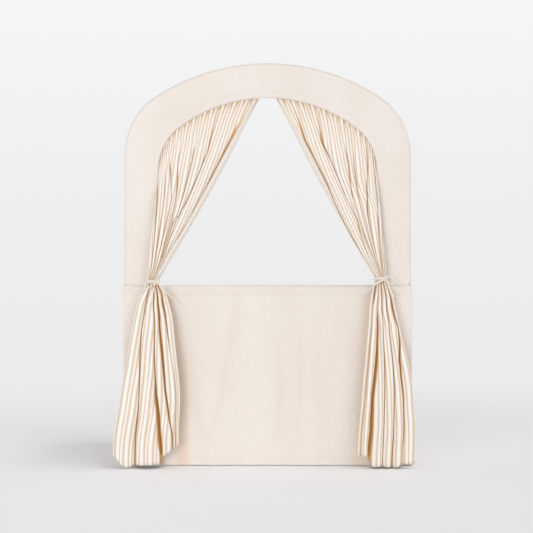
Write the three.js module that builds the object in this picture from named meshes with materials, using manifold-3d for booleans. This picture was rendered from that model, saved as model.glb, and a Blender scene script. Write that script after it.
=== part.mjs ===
// A puppet theater stand: an arched tube frame in a canvas cover, a canvas skirt below the stage ledge,
// two tied striped curtains, and two low side wings that fold flat behind the front.
// Millimetres, +Z up, the audience on the -Y side. Left and right are the audience's.
import * as THREE from 'three';
import { mergeVertices } from 'three/addons/utils/BufferGeometryUtils.js';
import Module from 'manifold-3d';

const wasm = await Module();
wasm.setup();

// The arched front: the cover's outer edge and the opening's edge are three-centred arches.
const archHalfWidth = 499;
const archSpringHeight = 1081;
const archRise = 319;
const archShoulderRadius = 243;
const sideBand = 121;
const crownBand = 121;
const openingRise = 243;
const openingShoulderRadius = 173;
const ledgeHeight = 627;

// Tubes and rods.
const frameTubeRadius = 12.5;
const frameTubeWall = 1.2;
const wingTubeRadius = 11;
const wingTubeWall = 1;
const rodRadius = 4;
const ferruleRadius = 5.6;
const ferruleLength = 50;
const spigotLength = 90;
const postJointAboveLedge = 70;
const frameBaseRailHeight = 48;
const wingBaseRailHeight = 48;

// Side wings.
const wingLength = 410;
const wingElbowRadius = 28;
const wingElbowSpigot = 34;
const foldClearance = 3;

// Moulded connectors, clips and feet.
const connectorWall = 2.8;
const teeHeight = 28;
const teeCollar = 4;
const teeSpigot = 42;
const clipHeight = 22;
const clipMouth = 20;
const clipWebWidth = 12;
const clipTeeGap = 60;
const footHeight = 32;
const footSole = 6;
const footEdge = 2;

// Cloth, as sewn and lined.
const coverCloth = 1.5;
const coverGap = 0.9;
const skirtCloth = 2;
const casingDepth = 33;
const skirtFloorGap = 3;
const skirtReturn = 10;
const skirtSplit = 2;
const skirtCornerRadius = 6;
const skirtFoldWidth = 165;
const skirtFoldDepth = 7;
const wingSkirtFoldDepth = 4;
const rodButtonhole = 6;

// Curtains and ties.
const curtainCloth = 2.4;
const curtainTopGap = 59;
const curtainTopFoldDepth = 7;
const curtainMidFoldDepth = 12;
const curtainHemFoldDepth = 13;
const waistHalfWidth = 18;
const waistHalfDepth = 12;
const waistBand = 14;
const tailForward = 9;
const tieThickness = 2.5;
const tieHeightAcross = 9;
const tieStringRadius = 2.2;
const tieKnotRadius = 7;
const leftTieInset = 108;
const leftTieAboveLedge = 7;
const leftTailOuter = 131;
const leftTailInner = 86;
const leftHemLift = 62;
const rightTieInset = 94;
const rightTieAboveLedge = 19;
const rightTailOuter = 107;
const rightTailInner = 82;
const rightHemLift = 34;
const tieEndReach = 60;
const tieEndDrop = 62;
const tieLoopReach = 26;

// Fits. A bore's flats clear the tube's corners by the fit.
const fit = 0.3;
const turningFit = 0.4;
const rodHoleFit = 0.7;
const headingGap = 0.4;
const overrun = 5;

// Shares of the sizes that they follow.
const skirtRowShares = [0, 0.18, 0.52, 1];
const upperRowShares = [0, 0.12, 0.26, 0.42, 0.6, 0.78, 0.91];
const tailRowShares = [0.05, 0.14, 0.32, 0.54, 0.77, 1];
const headingFoldShare = 0.7;
const flareShare = 0.42;
const flareEndShare = 0.07;
const tailFoldStartShare = 0.3;
const waistEndShare = 0.2;
const outerHoldShare = 0.3;
const innerHemShare = 0.6;
const outerHemShare = 0.2;
const outerLiftShare = 0.33;
const knotDepthShare = 0.7;
const knotHeightShare = 0.8;

// A string's route, as shares of its reach across, of the knot's radius forward and of its drop.
const loopRouteShares = [[0, 0.5, 0], [0.5, 1, 0.34], [1, 1, 0.12], [0.8, 1, -0.34], [0.08, 1, -0.08]];
const outerEndRouteShares = [[0, 0.5, 0], [0.33, 1.6, -0.25], [0.5, 2, -1]];
const innerEndRouteShares = [[0, 0.5, 0], [-0.13, 1.6, -0.33], [-0.17, 2, -1]];

// Powers of the shares, for how fast a form begins or ends.
const skirtLoosePower = 0.5;
const headingFadePower = 3;
const waistRoundPower = 8;
const tailFoldPower = 0.7;
const tailRoundPower = 2;

// Counts.
const tubeSides = 14;
const rodSides = 10;
const bendSteps = 5;
const shoulderSteps = 6;
const crownSteps = 5;
const curtainFolds = 8;
const pointsPerFold = 4;
const coverTubeSteps = 6;
const coverRodSteps = 4;
const casingSteps = 8;
const cornerSteps = 3;
const skirtColumns = 42;
const wingSkirtColumns = 14;
const tieSides = 22;
const knotSides = 8;
const knotRows = 6;
const stringSides = 5;
const stringSteps = 6;

// Sizes that follow from those above.
const boreAround = (radius, gap = fit, sides = tubeSides) => (radius + gap) / Math.cos(Math.PI / sides);
const plugInside = (radius, sides = tubeSides) => radius * Math.cos(Math.PI / sides) - fit;
const openingHalfWidth = archHalfWidth - sideBand;
const openingSpringHeight = archSpringHeight + archRise - crownBand - openingRise;
const leftTieAcross = archHalfWidth - leftTieInset;
const leftTieHeight = ledgeHeight + leftTieAboveLedge;
const rightTieAcross = archHalfWidth - rightTieInset;
const rightTieHeight = ledgeHeight + rightTieAboveLedge;
const sleeveRadius = frameTubeRadius + coverGap + coverCloth;
const postAcross = archHalfWidth - sleeveRadius;
const edgeSleeveRadius = boreAround(ferruleRadius, fit) + coverCloth;
const frameConnectorRadius = frameTubeRadius + connectorWall;
const wingConnectorRadius = wingTubeRadius + connectorWall;
const skirtInner = frameConnectorRadius + fit;
const skirtOuter = skirtInner + skirtCloth;
const skirtHalfWidth = postAcross + skirtOuter;
const railHeight = ledgeHeight - skirtCloth - boreAround(frameTubeRadius);
const wingRailHeight = ledgeHeight - skirtCloth - boreAround(wingTubeRadius);
const frameCasingRadius = boreAround(frameTubeRadius) + skirtCloth;
const wingCasingRadius = boreAround(wingTubeRadius) + skirtCloth;
const wingSetBack = frameCasingRadius + wingCasingRadius + foldClearance;
const clipFromTee = teeHeight / 2 + clipTeeGap + clipHeight / 2;
const lowerClipHeight = frameBaseRailHeight + clipFromTee;
const upperClipHeight = railHeight - clipFromTee;
const railStart = frameConnectorRadius + teeCollar + fit;
const wingRailStart = wingConnectorRadius + teeCollar + fit;
const rearReach = wingSetBack + wingLength + skirtOuter;
const waistForward = skirtOuter + fit + tieThickness + fit + waistHalfDepth + curtainCloth / 2;
const frontReach = waistForward + tailForward + curtainHemFoldDepth + curtainCloth / 2;
const frameForward = (rearReach - frontReach) / 2;

// Colours and finishes.
const finish = (color, roughness, metalness = 0) =>
  new THREE.MeshStandardMaterial({ color, roughness, metalness });
const paint = () => finish('#e9e6df', 0.45, 0.2);
const steel = () => finish('#b9bab8', 0.35, 0.9);
const nylon = () => finish('#dedad0', 0.55);
const rubber = () => finish('#8d8a84', 0.85);
const canvas = () => finish('#efe6da', 0.9);
const stripe = () => finish('#dfc9a6', 0.9);
const ivory = () => finish('#f1e9dc', 0.9);

// Closed bodies: joining, cutting, mirroring and facing outwards.
function solid(geometry) {
  const bare = geometry.clone();
  bare.deleteAttribute('normal');
  bare.deleteAttribute('uv');
  const merged = mergeVertices(bare);
  return new wasm.Manifold(new wasm.Mesh({
    numProp: 3,
    vertProperties: new Float32Array(merged.attributes.position.array),
    triVerts: new Uint32Array(merged.index.array),
  }));
}

function geometryOf(body) {
  const mesh = body.getMesh();
  const geometry = new THREE.BufferGeometry();
  geometry.setAttribute('position', new THREE.BufferAttribute(new Float32Array(mesh.vertProperties), 3));
  geometry.setIndex(new THREE.BufferAttribute(new Uint32Array(mesh.triVerts), 1));
  return geometry;
}

function shaped(added, removed = []) {
  let body = solid(added[0]);
  for (const more of added.slice(1)) body = body.add(solid(more));
  for (const tool of removed) body = body.subtract(solid(tool));
  return geometryOf(body);
}

function volumeOf(points, index) {
  const [a, b, c] = [new THREE.Vector3(), new THREE.Vector3(), new THREE.Vector3()];
  let sum = 0;
  for (let i = 0; i < index.count; i += 3) {
    a.fromBufferAttribute(points, index.getX(i));
    b.fromBufferAttribute(points, index.getX(i + 1));
    c.fromBufferAttribute(points, index.getX(i + 2));
    sum += a.dot(b.cross(c));
  }
  return sum / 6;
}

function outward(geometry) {
  const bare = geometry.clone();
  bare.deleteAttribute('normal');
  bare.deleteAttribute('uv');
  const merged = mergeVertices(bare);
  if (volumeOf(merged.attributes.position, merged.index) < 0) {
    const index = merged.index.array;
    for (let i = 0; i < index.length; i += 3) [index[i], index[i + 1]] = [index[i + 1], index[i]];
  }
  return merged;
}

const mirrored = (geometry) => outward(geometry.clone().scale(-1, 1, 1));

// Outlines.
function circle(radius, sides = tubeSides) {
  return Array.from({ length: sides }, (_, i) => {
    const turn = (i / sides) * Math.PI * 2;
    return new THREE.Vector2(radius * Math.cos(turn), radius * Math.sin(turn));
  });
}

function outline(points, ...holes) {
  const shape = new THREE.Shape(THREE.ShapeUtils.isClockWise(points) ? points.toReversed() : points);
  for (const hole of holes) shape.holes.push(new THREE.Path(hole));
  return shape;
}

// A path that a section visits at chosen stations, so that straight runs take one step.
class StationPath extends THREE.Curve {
  constructor(stations) {
    super();
    this.stations = stations;
  }
  station(share) {
    return this.stations[Math.round(share * (this.stations.length - 1))];
  }
  getPointAt(share, target = new THREE.Vector3()) {
    return target.copy(this.station(share).point);
  }
  getTangentAt(share, target = new THREE.Vector3()) {
    return target.copy(this.station(share).along);
  }
}

function swept(shape, stations) {
  const steps = stations.length - 1;
  const path = new StationPath(stations);
  return outward(new THREE.ExtrudeGeometry(shape, { steps, extrudePath: path, bevelEnabled: false }));
}

function straight(from, to) {
  const along = to.clone().sub(from).normalize();
  return [{ point: from, along }, { point: to, along }];
}

const tubeSection = (radius, wall) => outline(circle(radius), circle(radius - wall));
const frameTube = (stations) => swept(tubeSection(frameTubeRadius, frameTubeWall), stations);
const wingTube = (stations) => swept(tubeSection(wingTubeRadius, wingTubeWall), stations);
const rod = (radius, from, to, sides = tubeSides) =>
  swept(outline(circle(radius, sides)), straight(from, to));
const at = (x, y, z) => new THREE.Vector3(x, y, z);

// The stations of a three-centred arch, from the foot of its left leg over the crown to the right.
function arch(halfWidth, springHeight, rise, shoulderRadius) {
  const chord = halfWidth ** 2 + rise ** 2 - 2 * halfWidth * shoulderRadius;
  const crownRadius = chord / (2 * (rise - shoulderRadius));
  const crownHalfTurn = Math.asin((halfWidth - shoulderRadius) / (crownRadius - shoulderRadius));
  const shoulderTurn = Math.PI / 2 - crownHalfTurn;
  const shoulder = (turn) => ({
    point: at(-(halfWidth - shoulderRadius) - shoulderRadius * Math.cos(turn), 0,
      springHeight + shoulderRadius * Math.sin(turn)),
    along: at(Math.sin(turn), 0, Math.cos(turn)),
  });
  const crown = (turn) => ({
    point: at(crownRadius * Math.sin(turn), 0, springHeight + rise - crownRadius * (1 - Math.cos(turn))),
    along: at(Math.cos(turn), 0, -Math.sin(turn)),
  });
  const leg = (height) => ({ point: at(-halfWidth, 0, height), along: at(0, 0, 1) });
  return { crownRadius, crownHalfTurn, shoulderTurn, shoulder, crown, leg };
}

const steps = (count, make) => Array.from({ length: count + 1 }, (_, i) => make(i / count));
const tubeArch = arch(postAcross, archSpringHeight, archRise - sleeveRadius,
  archShoulderRadius - sleeveRadius);
const rodArch = arch(openingHalfWidth + edgeSleeveRadius, openingSpringHeight, openingRise + edgeSleeveRadius,
  openingShoulderRadius + edgeSleeveRadius);
const openingArch = arch(openingHalfWidth, openingSpringHeight, openingRise, openingShoulderRadius);

function acrossCrown(turn, count) {
  return steps(2 * count, (share) => tubeArch.crown(turn * (2 * share - 1)));
}

// The front frame's tubes.
const postJointHeight = ledgeHeight + postJointAboveLedge;
const tubeFootHeight = footSole + fit;

const lowerPost = () => frameTube(straight(at(0, 0, tubeFootHeight), at(0, 0, postJointHeight - fit / 2)));

function shoulderTube() {
  const endTurn = tubeArch.shoulderTurn - fit / 2 / (archShoulderRadius - sleeveRadius);
  return frameTube([
    tubeArch.leg(postJointHeight + fit / 2),
    ...steps(shoulderSteps, (share) => tubeArch.shoulder(endTurn * share)),
  ]);
}

function crownTube() {
  return frameTube(acrossCrown(tubeArch.crownHalfTurn - fit / 2 / tubeArch.crownRadius, crownSteps));
}

const spigotSection = () => {
  const radius = plugInside(frameTubeRadius - frameTubeWall);
  return outline(circle(radius), circle(radius - frameTubeWall));
};

const postSpigot = () => swept(spigotSection(),
  straight(at(0, 0, -spigotLength / 2), at(0, 0, spigotLength / 2)));

// A coupler's stations across a joint. It follows the straight facets of the tubes that it joins.
function acrossJoint(before, joint, after, length) {
  const towards = (station, way) => {
    const along = station.point.clone().sub(joint.point).normalize();
    const reach = Math.min(length / 2, station.point.distanceTo(joint.point));
    return { point: joint.point.clone().addScaledVector(along, reach), along: along.multiplyScalar(way) };
  };
  return [towards(before, -1), joint, towards(after, 1)];
}

const crownSpigot = () => swept(spigotSection(), acrossJoint(
  tubeArch.shoulder(tubeArch.shoulderTurn * (1 - 1 / shoulderSteps)),
  tubeArch.shoulder(tubeArch.shoulderTurn),
  tubeArch.crown(-tubeArch.crownHalfTurn * (1 - 1 / crownSteps)),
  spigotLength,
));

function stageRail() {
  const half = postAcross - railStart;
  const tube = frameTube(straight(at(-half, 0, 0), at(half, 0, 0)));
  const holes = [-1, 1].map((side) => {
    const across = side * (openingHalfWidth + edgeSleeveRadius);
    return rod(boreAround(rodRadius, rodHoleFit, rodSides), at(across, 0, 0),
      at(across, 0, frameTubeRadius + overrun), rodSides);
  });
  return shaped([tube], holes);
}

const frameBaseRail = () => {
  const half = postAcross - railStart;
  return frameTube(straight(at(-half, 0, 0), at(half, 0, 0)));
};

// The bent rod that keeps the opening's edge in shape, in two halves that meet in a ferrule.
function openingRod() {
  const foot = railHeight - Math.sqrt(plugInside(frameTubeRadius - frameTubeWall) ** 2 - rodRadius ** 2);
  const gapTurn = fit / 2 / rodArch.crownRadius;
  const crownTurn = (share) => -rodArch.crownHalfTurn * (1 - share) - gapTurn * share;
  return swept(outline(circle(rodRadius, rodSides)), [
    rodArch.leg(foot),
    ...steps(shoulderSteps, (share) => rodArch.shoulder(rodArch.shoulderTurn * share)),
    ...steps(crownSteps, (share) => rodArch.crown(crownTurn(share))).slice(1),
  ]);
}

function rodFerrule() {
  const bore = circle(boreAround(rodRadius, fit, rodSides), rodSides);
  const step = rodArch.crownHalfTurn / crownSteps;
  return swept(outline(circle(ferruleRadius, rodSides), bore),
    acrossJoint(rodArch.crown(-step), rodArch.crown(0), rodArch.crown(step), ferruleLength));
}

// Connectors. A tee slides over a post and plugs into a rail that runs towards +X.
function tee(postRadius, railRadius, railWall) {
  const outer = postRadius + connectorWall;
  const collarEnd = outer + teeCollar;
  const half = teeHeight / 2;
  const hub = rod(outer, at(0, 0, -half), at(0, 0, half));
  const collar = rod(railRadius, at(0, 0, 0), at(collarEnd, 0, 0));
  const plug = rod(plugInside(railRadius - railWall), at(0, 0, 0), at(collarEnd + teeSpigot, 0, 0));
  const bore = rod(boreAround(postRadius), at(0, 0, -half - overrun), at(0, 0, half + overrun));
  return shaped([hub, collar, plug], [bore]);
}

const frameTee = () => tee(frameTubeRadius, frameTubeRadius, frameTubeWall);
const wingTee = () => tee(wingTubeRadius, wingTubeRadius, wingTubeWall);

// A figure-8 clip: it snaps on the post from behind, and the wing's upright turns in its closed ring.
function hingeClip() {
  const half = clipHeight / 2;
  const disc = (radius, y, over = 0) => rod(radius, at(0, y, -half - over), at(0, y, half + over));
  const web = new THREE.BoxGeometry(clipWebWidth, wingSetBack, clipHeight).translate(0, wingSetBack / 2, 0);
  const mouth = new THREE.BoxGeometry(clipMouth, frameConnectorRadius, clipHeight + 2 * overrun)
    .translate(0, -frameConnectorRadius, 0);
  return shaped(
    [disc(frameConnectorRadius, 0), disc(wingConnectorRadius, wingSetBack), web],
    [disc(boreAround(frameTubeRadius), 0, overrun),
      disc(boreAround(wingTubeRadius, turningFit), wingSetBack, overrun), mouth],
  );
}

// A rubber foot: a cup with a rounded edge at the floor.
function foot(tubeRadius) {
  const outer = tubeRadius + connectorWall;
  const bore = boreAround(tubeRadius);
  const profile = [
    [0, 0], [outer - footEdge, 0], [outer, footEdge],
    [outer, footHeight], [bore, footHeight], [bore, footSole], [0, footSole],
  ].map(([x, y]) => new THREE.Vector2(x, y));
  return outward(new THREE.LatheGeometry(profile, tubeSides).rotateX(Math.PI / 2));
}

// The side wing's corner elbow: a quarter bend with a plug on each end, from +Z round to +Y.
function wingElbow() {
  const plug = plugInside(wingTubeRadius - wingTubeWall);
  const bend = swept(outline(circle(wingTubeRadius)), steps(bendSteps, (share) => {
    const turn = share * Math.PI / 2;
    return {
      point: at(0, wingElbowRadius * (1 - Math.cos(turn)), wingElbowRadius * (Math.sin(turn) - 1)),
      along: at(0, Math.sin(turn), Math.cos(turn)),
    };
  }));
  const reach = wingElbowRadius + wingElbowSpigot;
  const down = rod(plug, at(0, 0, -wingElbowRadius + fit), at(0, 0, -reach));
  const across = rod(plug, at(0, wingElbowRadius - fit, 0), at(0, reach, 0));
  return shaped([bend, down, across]);
}

const wingUpright = () => wingTube(straight(at(0, 0, tubeFootHeight),
  at(0, 0, wingRailHeight - wingElbowRadius - fit)));
const wingTopRail = () => wingTube(straight(at(0, wingElbowRadius + fit, 0),
  at(0, wingLength - wingElbowRadius - fit, 0)));
const wingBaseRail = () => wingTube(straight(at(0, wingRailStart, 0),
  at(0, wingLength - wingRailStart, 0)));

// Cloth. A shell between two skins of rings, open at both ends.
function shell(outerRings, innerRings) {
  const count = outerRings[0].length;
  const rows = outerRings.length;
  const points = [...outerRings.flat(), ...innerRings.flat()];
  const index = [];
  const vertex = (skin, row, i) => (skin * rows + row) * count + (i % count);
  const quad = (a, b, c, d) => index.push(a, b, c, a, c, d);
  for (let row = 0; row < rows - 1; row += 1) {
    for (let i = 0; i < count; i += 1) {
      quad(vertex(0, row, i), vertex(0, row, i + 1), vertex(0, row + 1, i + 1), vertex(0, row + 1, i));
      quad(vertex(1, row, i), vertex(1, row + 1, i), vertex(1, row + 1, i + 1), vertex(1, row, i + 1));
    }
  }
  for (let i = 0; i < count; i += 1) {
    const last = rows - 1;
    quad(vertex(0, 0, i), vertex(1, 0, i), vertex(1, 0, i + 1), vertex(0, 0, i + 1));
    quad(vertex(0, last, i), vertex(0, last, i + 1), vertex(1, last, i + 1), vertex(1, last, i));
  }
  return outward(new THREE.BufferGeometry().setFromPoints(points).setIndex(index));
}

// A sheet between a front and a back grid of points, closed round its edges.
function sheet(front, back) {
  const rows = front.length;
  const columns = front[0].length;
  const points = [...front.flat(), ...back.flat()];
  const vertex = (skin, row, column) => (skin * rows + row) * columns + column;
  const index = [];
  const quad = (a, b, c, d) => index.push(a, b, c, a, c, d);
  for (let row = 0; row < rows - 1; row += 1) {
    for (let column = 0; column < columns - 1; column += 1) {
      const corners = (skin) => [vertex(skin, row, column), vertex(skin, row, column + 1),
        vertex(skin, row + 1, column + 1), vertex(skin, row + 1, column)];
      quad(...corners(0));
      quad(...corners(1).reverse());
    }
  }
  const edge = (from, to) => quad(vertex(0, ...from), vertex(0, ...to), vertex(1, ...to), vertex(1, ...from));
  for (let column = 0; column < columns - 1; column += 1) {
    edge([0, column + 1], [0, column]);
    edge([rows - 1, column], [rows - 1, column + 1]);
  }
  for (let row = 0; row < rows - 1; row += 1) {
    edge([row, 0], [row + 1, 0]);
    edge([row + 1, columns - 1], [row, columns - 1]);
  }
  return outward(new THREE.BufferGeometry().setFromPoints(points).setIndex(index));
}

// The cover's section at one station: round over the tube outside, round over the rod inside.
function coverRing(tubeStation, rodStation, inset) {
  const halfRound = ({ point, along }, radius, turns, way) => turns.map((turn) => point.clone()
    .addScaledVector(at(-along.z, 0, along.x), way * radius * Math.cos(turn))
    .add(at(0, way * radius * Math.sin(turn), 0)));
  const turn = (share) => Math.PI * (share - 0.5);
  const wide = steps(coverTubeSteps, turn);
  const narrow = steps(coverRodSteps, turn);
  return [
    ...halfRound(tubeStation, sleeveRadius - inset, wide, 1),
    ...halfRound(rodStation, edgeSleeveRadius - inset, narrow, -1),
  ];
}

function coverStations() {
  const half = [
    [tubeArch.leg(ledgeHeight + fit), rodArch.leg(ledgeHeight + fit)],
    ...steps(shoulderSteps, (share) => [
      tubeArch.shoulder(tubeArch.shoulderTurn * share), rodArch.shoulder(rodArch.shoulderTurn * share),
    ]),
    ...steps(crownSteps, (share) => [
      tubeArch.crown(-tubeArch.crownHalfTurn * (1 - share)),
      rodArch.crown(-rodArch.crownHalfTurn * (1 - share)),
    ]).slice(1),
  ];
  const across = ({ point, along }) => ({ point: at(-point.x, 0, point.z), along: at(along.x, 0, -along.z) });
  return [...half, ...half.slice(0, -1).reverse().map((pair) => pair.map(across))];
}

function archCover() {
  const stations = coverStations();
  return shell(
    stations.map(([outer, inner]) => coverRing(outer, inner, 0)),
    stations.map(([outer, inner]) => coverRing(outer, inner, coverCloth)),
  );
}

// The cover's front face, as a depth in front of the frame's plane, at a distance from the middle.
function coverFace(across) {
  const edge = openingHalfWidth + edgeSleeveRadius;
  const share = THREE.MathUtils.clamp((across - edge) / (postAcross - edge), 0, 1);
  return edgeSleeveRadius + (sleeveRadius - edgeSleeveRadius) * share;
}

// A casing's section: cloth from the panel's top edge over the rail and back to the stitch line.
// x is the depth behind the skirt's outer face, y the height.
function casingSection(tubeRadius, tubeDepth, tubeHeight) {
  const bore = boreAround(tubeRadius);
  const loop = (radius, inset) => {
    const stitch = new THREE.Vector2(inset, ledgeHeight - casingDepth + inset);
    const toStitch = stitch.clone().sub(new THREE.Vector2(tubeDepth, tubeHeight));
    const tangentTurn = Math.atan2(toStitch.y, toStitch.x) + Math.acos(radius / toStitch.length());
    const topTurn = Math.PI / 2;
    const round = steps(casingSteps, (share) => {
      const turn = topTurn + (tangentTurn - topTurn) * share;
      return new THREE.Vector2(tubeDepth + radius * Math.cos(turn), tubeHeight + radius * Math.sin(turn));
    });
    return [new THREE.Vector2(inset, tubeHeight + radius), ...round, stitch];
  };
  return outline(loop(bore + skirtCloth, 0), loop(bore, skirtCloth));
}

function skirtFold(along, width) {
  const turn = 2 * Math.PI * along / width;
  return (1 + Math.sin(turn + Math.sin(along / width))) / 2;
}

// The panel's outer face is a path in plan; every row below the stitch line stands out in soft folds.
function panel(path, depth) {
  const rows = [ledgeHeight, ...skirtRowShares.map((share) =>
    ledgeHeight - casingDepth - share * (ledgeHeight - casingDepth - skirtFloorGap))];
  const drop = (height) => THREE.MathUtils.smoothstep(ledgeHeight - casingDepth - height, 0, ledgeHeight);
  const grid = (inset) => rows.map((height) => path.map(({ point, out, along, loose }) => {
    const stand = depth * loose * drop(height) * skirtFold(along, skirtFoldWidth) - inset;
    return at(point.x + out.x * stand, point.y + out.y * stand, height);
  }));
  return sheet(grid(0), grid(skirtCloth));
}

// A rounded corner in plan, between two straight runs at a right angle. The insets keep their thickness.
function corner(x, y, startTurn, along) {
  return steps(cornerSteps, (share) => {
    const turn = startTurn + share * Math.PI / 2;
    const out = new THREE.Vector2(Math.cos(turn), Math.sin(turn));
    return {
      point: new THREE.Vector2(x + skirtCornerRadius * out.x, y + skirtCornerRadius * out.y),
      out, along, loose: 0,
    };
  });
}

function run(from, to, out, count, looseAt) {
  return steps(count, (share) => ({
    point: from.clone().lerp(to, share), out, along: from.distanceTo(to) * share, loose: looseAt(share),
  }));
}

const still = () => 0;
const middleLoose = (share) => Math.sin(Math.PI * share) ** skirtLoosePower;

function frontSkirt() {
  const edge = skirtHalfWidth;
  const turned = skirtHalfWidth - skirtCornerRadius;
  const left = new THREE.Vector2(-1, 0);
  const right = new THREE.Vector2(1, 0);
  const front = new THREE.Vector2(0, -1);
  const plan = (x, y) => new THREE.Vector2(x, y);
  const face = -skirtOuter;
  const behind = face + skirtCornerRadius;
  const path = [
    ...run(plan(-edge, skirtReturn), plan(-edge, behind), left, 1, still).slice(0, 1),
    ...corner(-turned, behind, Math.PI, 0),
    ...run(plan(-turned, face), plan(turned, face), front, skirtColumns, middleLoose).slice(1, -1),
    ...corner(turned, behind, -Math.PI / 2, 0),
    ...run(plan(edge, behind), plan(edge, skirtReturn), right, 1, still).slice(1),
  ];
  const casingHalf = postAcross - railStart;
  const casing = new THREE.ExtrudeGeometry(casingSection(frameTubeRadius, skirtOuter, railHeight),
    { depth: 2 * casingHalf, bevelEnabled: false });
  casing.applyMatrix4(new THREE.Matrix4().makeBasis(at(0, 1, 0), at(0, 0, 1), at(1, 0, 0)))
    .translate(-casingHalf, -skirtOuter, 0);
  const buttonholes = [-1, 1].map((side) => {
    const across = side * (openingHalfWidth + edgeSleeveRadius);
    return rod(rodButtonhole, at(across, 0, railHeight), at(across, 0, ledgeHeight + overrun));
  });
  return shaped([panel(path, skirtFoldDepth), casing], buttonholes);
}

// The left wing's skirt, in the wing's own frame: its front upright stands on the origin.
function wingSkirt() {
  const plan = (x, y) => new THREE.Vector2(x, y);
  const left = new THREE.Vector2(-1, 0);
  const back = new THREE.Vector2(0, 1);
  const start = skirtReturn + skirtSplit - wingSetBack;
  const rear = wingLength + skirtOuter;
  const turned = skirtOuter - skirtCornerRadius;
  const path = [
    ...run(plan(-skirtOuter, start), plan(-skirtOuter, rear - skirtCornerRadius), left, wingSkirtColumns,
      middleLoose).slice(0, -1),
    ...corner(-turned, rear - skirtCornerRadius, Math.PI, 0).map((place) => mirrorTurn(place, rear)),
    ...run(plan(-turned, rear), plan(wingCasingRadius, rear), back, 1, still).slice(1),
  ];
  const casingLength = wingLength - 2 * (wingElbowRadius + fit);
  const casing = new THREE.ExtrudeGeometry(casingSection(wingTubeRadius, skirtOuter, wingRailHeight),
    { depth: casingLength, bevelEnabled: false });
  casing.applyMatrix4(new THREE.Matrix4().makeBasis(at(1, 0, 0), at(0, 0, 1), at(0, -1, 0)))
    .translate(-skirtOuter, wingLength - wingElbowRadius - fit, 0);
  return shaped([panel(path, wingSkirtFoldDepth), casing]);
}

// The same corner turned from -X towards +Y instead of towards -Y.
function mirrorTurn(place, rear) {
  const middle = rear - skirtCornerRadius;
  return {
    ...place,
    point: new THREE.Vector2(place.point.x, 2 * middle - place.point.y),
    out: new THREE.Vector2(place.out.x, -place.out.y),
  };
}

// A curtain. One panel is gathered along the inner arch, drawn to a waist at the tie and falls to the floor.
// u runs from the outer edge to the free edge, and the rows run from the arch down to the hem.
// The heading follows the straight facets of the cover's opening edge, a fit away from them.
const headingPath = (() => {
  const path = new THREE.CurvePath();
  const points = coverStations().slice(1, shoulderSteps + crownSteps + 2).map(([, { point, along }]) =>
    point.clone().addScaledVector(at(-along.z, 0, along.x), -(edgeSleeveRadius + headingGap)));
  const last = points.at(-1);
  const before = points.at(-2);
  points[points.length - 1] = last.clone().lerp(before, curtainTopGap / 2 / (last.x - before.x));
  points.slice(1).forEach((point, i) => path.add(new THREE.LineCurve3(points[i], point)));
  return path;
})();
const archHeading = (u) => headingPath.getPointAt(u);

function curtain({ tieAcross, tieHeight, tailOuter, tailInner, hem }) {
  const columns = curtainFolds * pointsPerFold;
  const fold = (u) => Math.sin(2 * Math.PI * curtainFolds * u);
  const waistAt = (u) => -tieAcross + (2 * u - 1) * waistHalfWidth;
  const flat = (point, y, thickness) =>
    [-1, 1].map((side) => at(point.x, y + side * thickness / 2, point.z));
  const roundDepth = (u) => 2 * waistHalfDepth * Math.sqrt(1 - (2 * u - 1) ** 2);
  const roundExtra = (u) => Math.max(0, roundDepth(u) - curtainCloth);

  const upper = (u, t) => {
    const top = archHeading(u);
    const outward = Math.max(0, (t - upperRowShares[2]) / (1 - upperRowShares[2]));
    const outerHold = 1 - THREE.MathUtils.smoothstep(u, 0, outerHoldShare);
    const way = t + (outward - t) * outerHold;
    const point = at(top.x + (waistAt(u) - top.x) * way, 0, top.z + (tieHeight + waistBand / 2 - top.z) * t);
    const belly = curtainTopFoldDepth + (curtainMidFoldDepth - curtainTopFoldDepth) * Math.sin(Math.PI * t);
    const depth = belly * (1 - t ** headingFadePower) * (t === 0 ? headingFoldShare : 1);
    const y = fold(u) * depth - waistForward * Math.sin(t * Math.PI / 2);
    const thickness = curtainCloth + roundExtra(u) * t ** waistRoundPower;
    const face = -coverFace(Math.abs(point.x)) - fit - thickness / 2;
    const onCover = t >= upperRowShares[2] && -point.x > openingHalfWidth - 2 * curtainMidFoldDepth;
    return flat(point, onCover ? Math.min(y, face) : y, thickness);
  };
  const waist = (u, height) =>
    flat(at(waistAt(u), 0, height), -waistForward, curtainCloth + roundExtra(u));
  const tail = (u, s) => {
    const spread = flareShare * (1 - Math.exp(-s / flareEndShare)) + (1 - flareShare) * s;
    const side = 2 * u - 1;
    const reach = side < 0 ? tailOuter : tailInner;
    const across = -tieAcross + side * (waistHalfWidth + (reach - waistHalfWidth) * spread);
    const top = tieHeight - waistBand / 2;
    const height = top + (skirtFloorGap + hem(u) - top) * s;
    const depth = curtainHemFoldDepth * Math.min(1, s / tailFoldStartShare) ** tailFoldPower;
    const y = -waistForward - tailForward * s + fold(u) * depth;
    const roundLeft = (1 - Math.min(1, s / waistEndShare)) ** tailRoundPower;
    const thickness = curtainCloth + roundExtra(u) * roundLeft;
    return flat(at(across, 0, height), y, thickness);
  };
  const us = Array.from({ length: columns + 1 }, (_, i) => i / columns);
  const grid = [
    ...upperRowShares.map((t) => us.map((u) => upper(u, t))),
    us.map((u) => waist(u, tieHeight + waistBand / 2)),
    us.map((u) => waist(u, tieHeight - waistBand / 2)),
    ...tailRowShares.map((s) => us.map((u) => tail(u, s))),
  ];
  const skin = (side) => grid.map((row) => row.map((pair) => pair[side]));
  return sheet(skin(0), skin(1));
}

const hemOf = (lift, endShare) => (u) => lift * THREE.MathUtils.smoothstep(u, innerHemShare, endShare)
  + lift * outerLiftShare * (1 - THREE.MathUtils.smoothstep(u, 0, outerHemShare));

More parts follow.
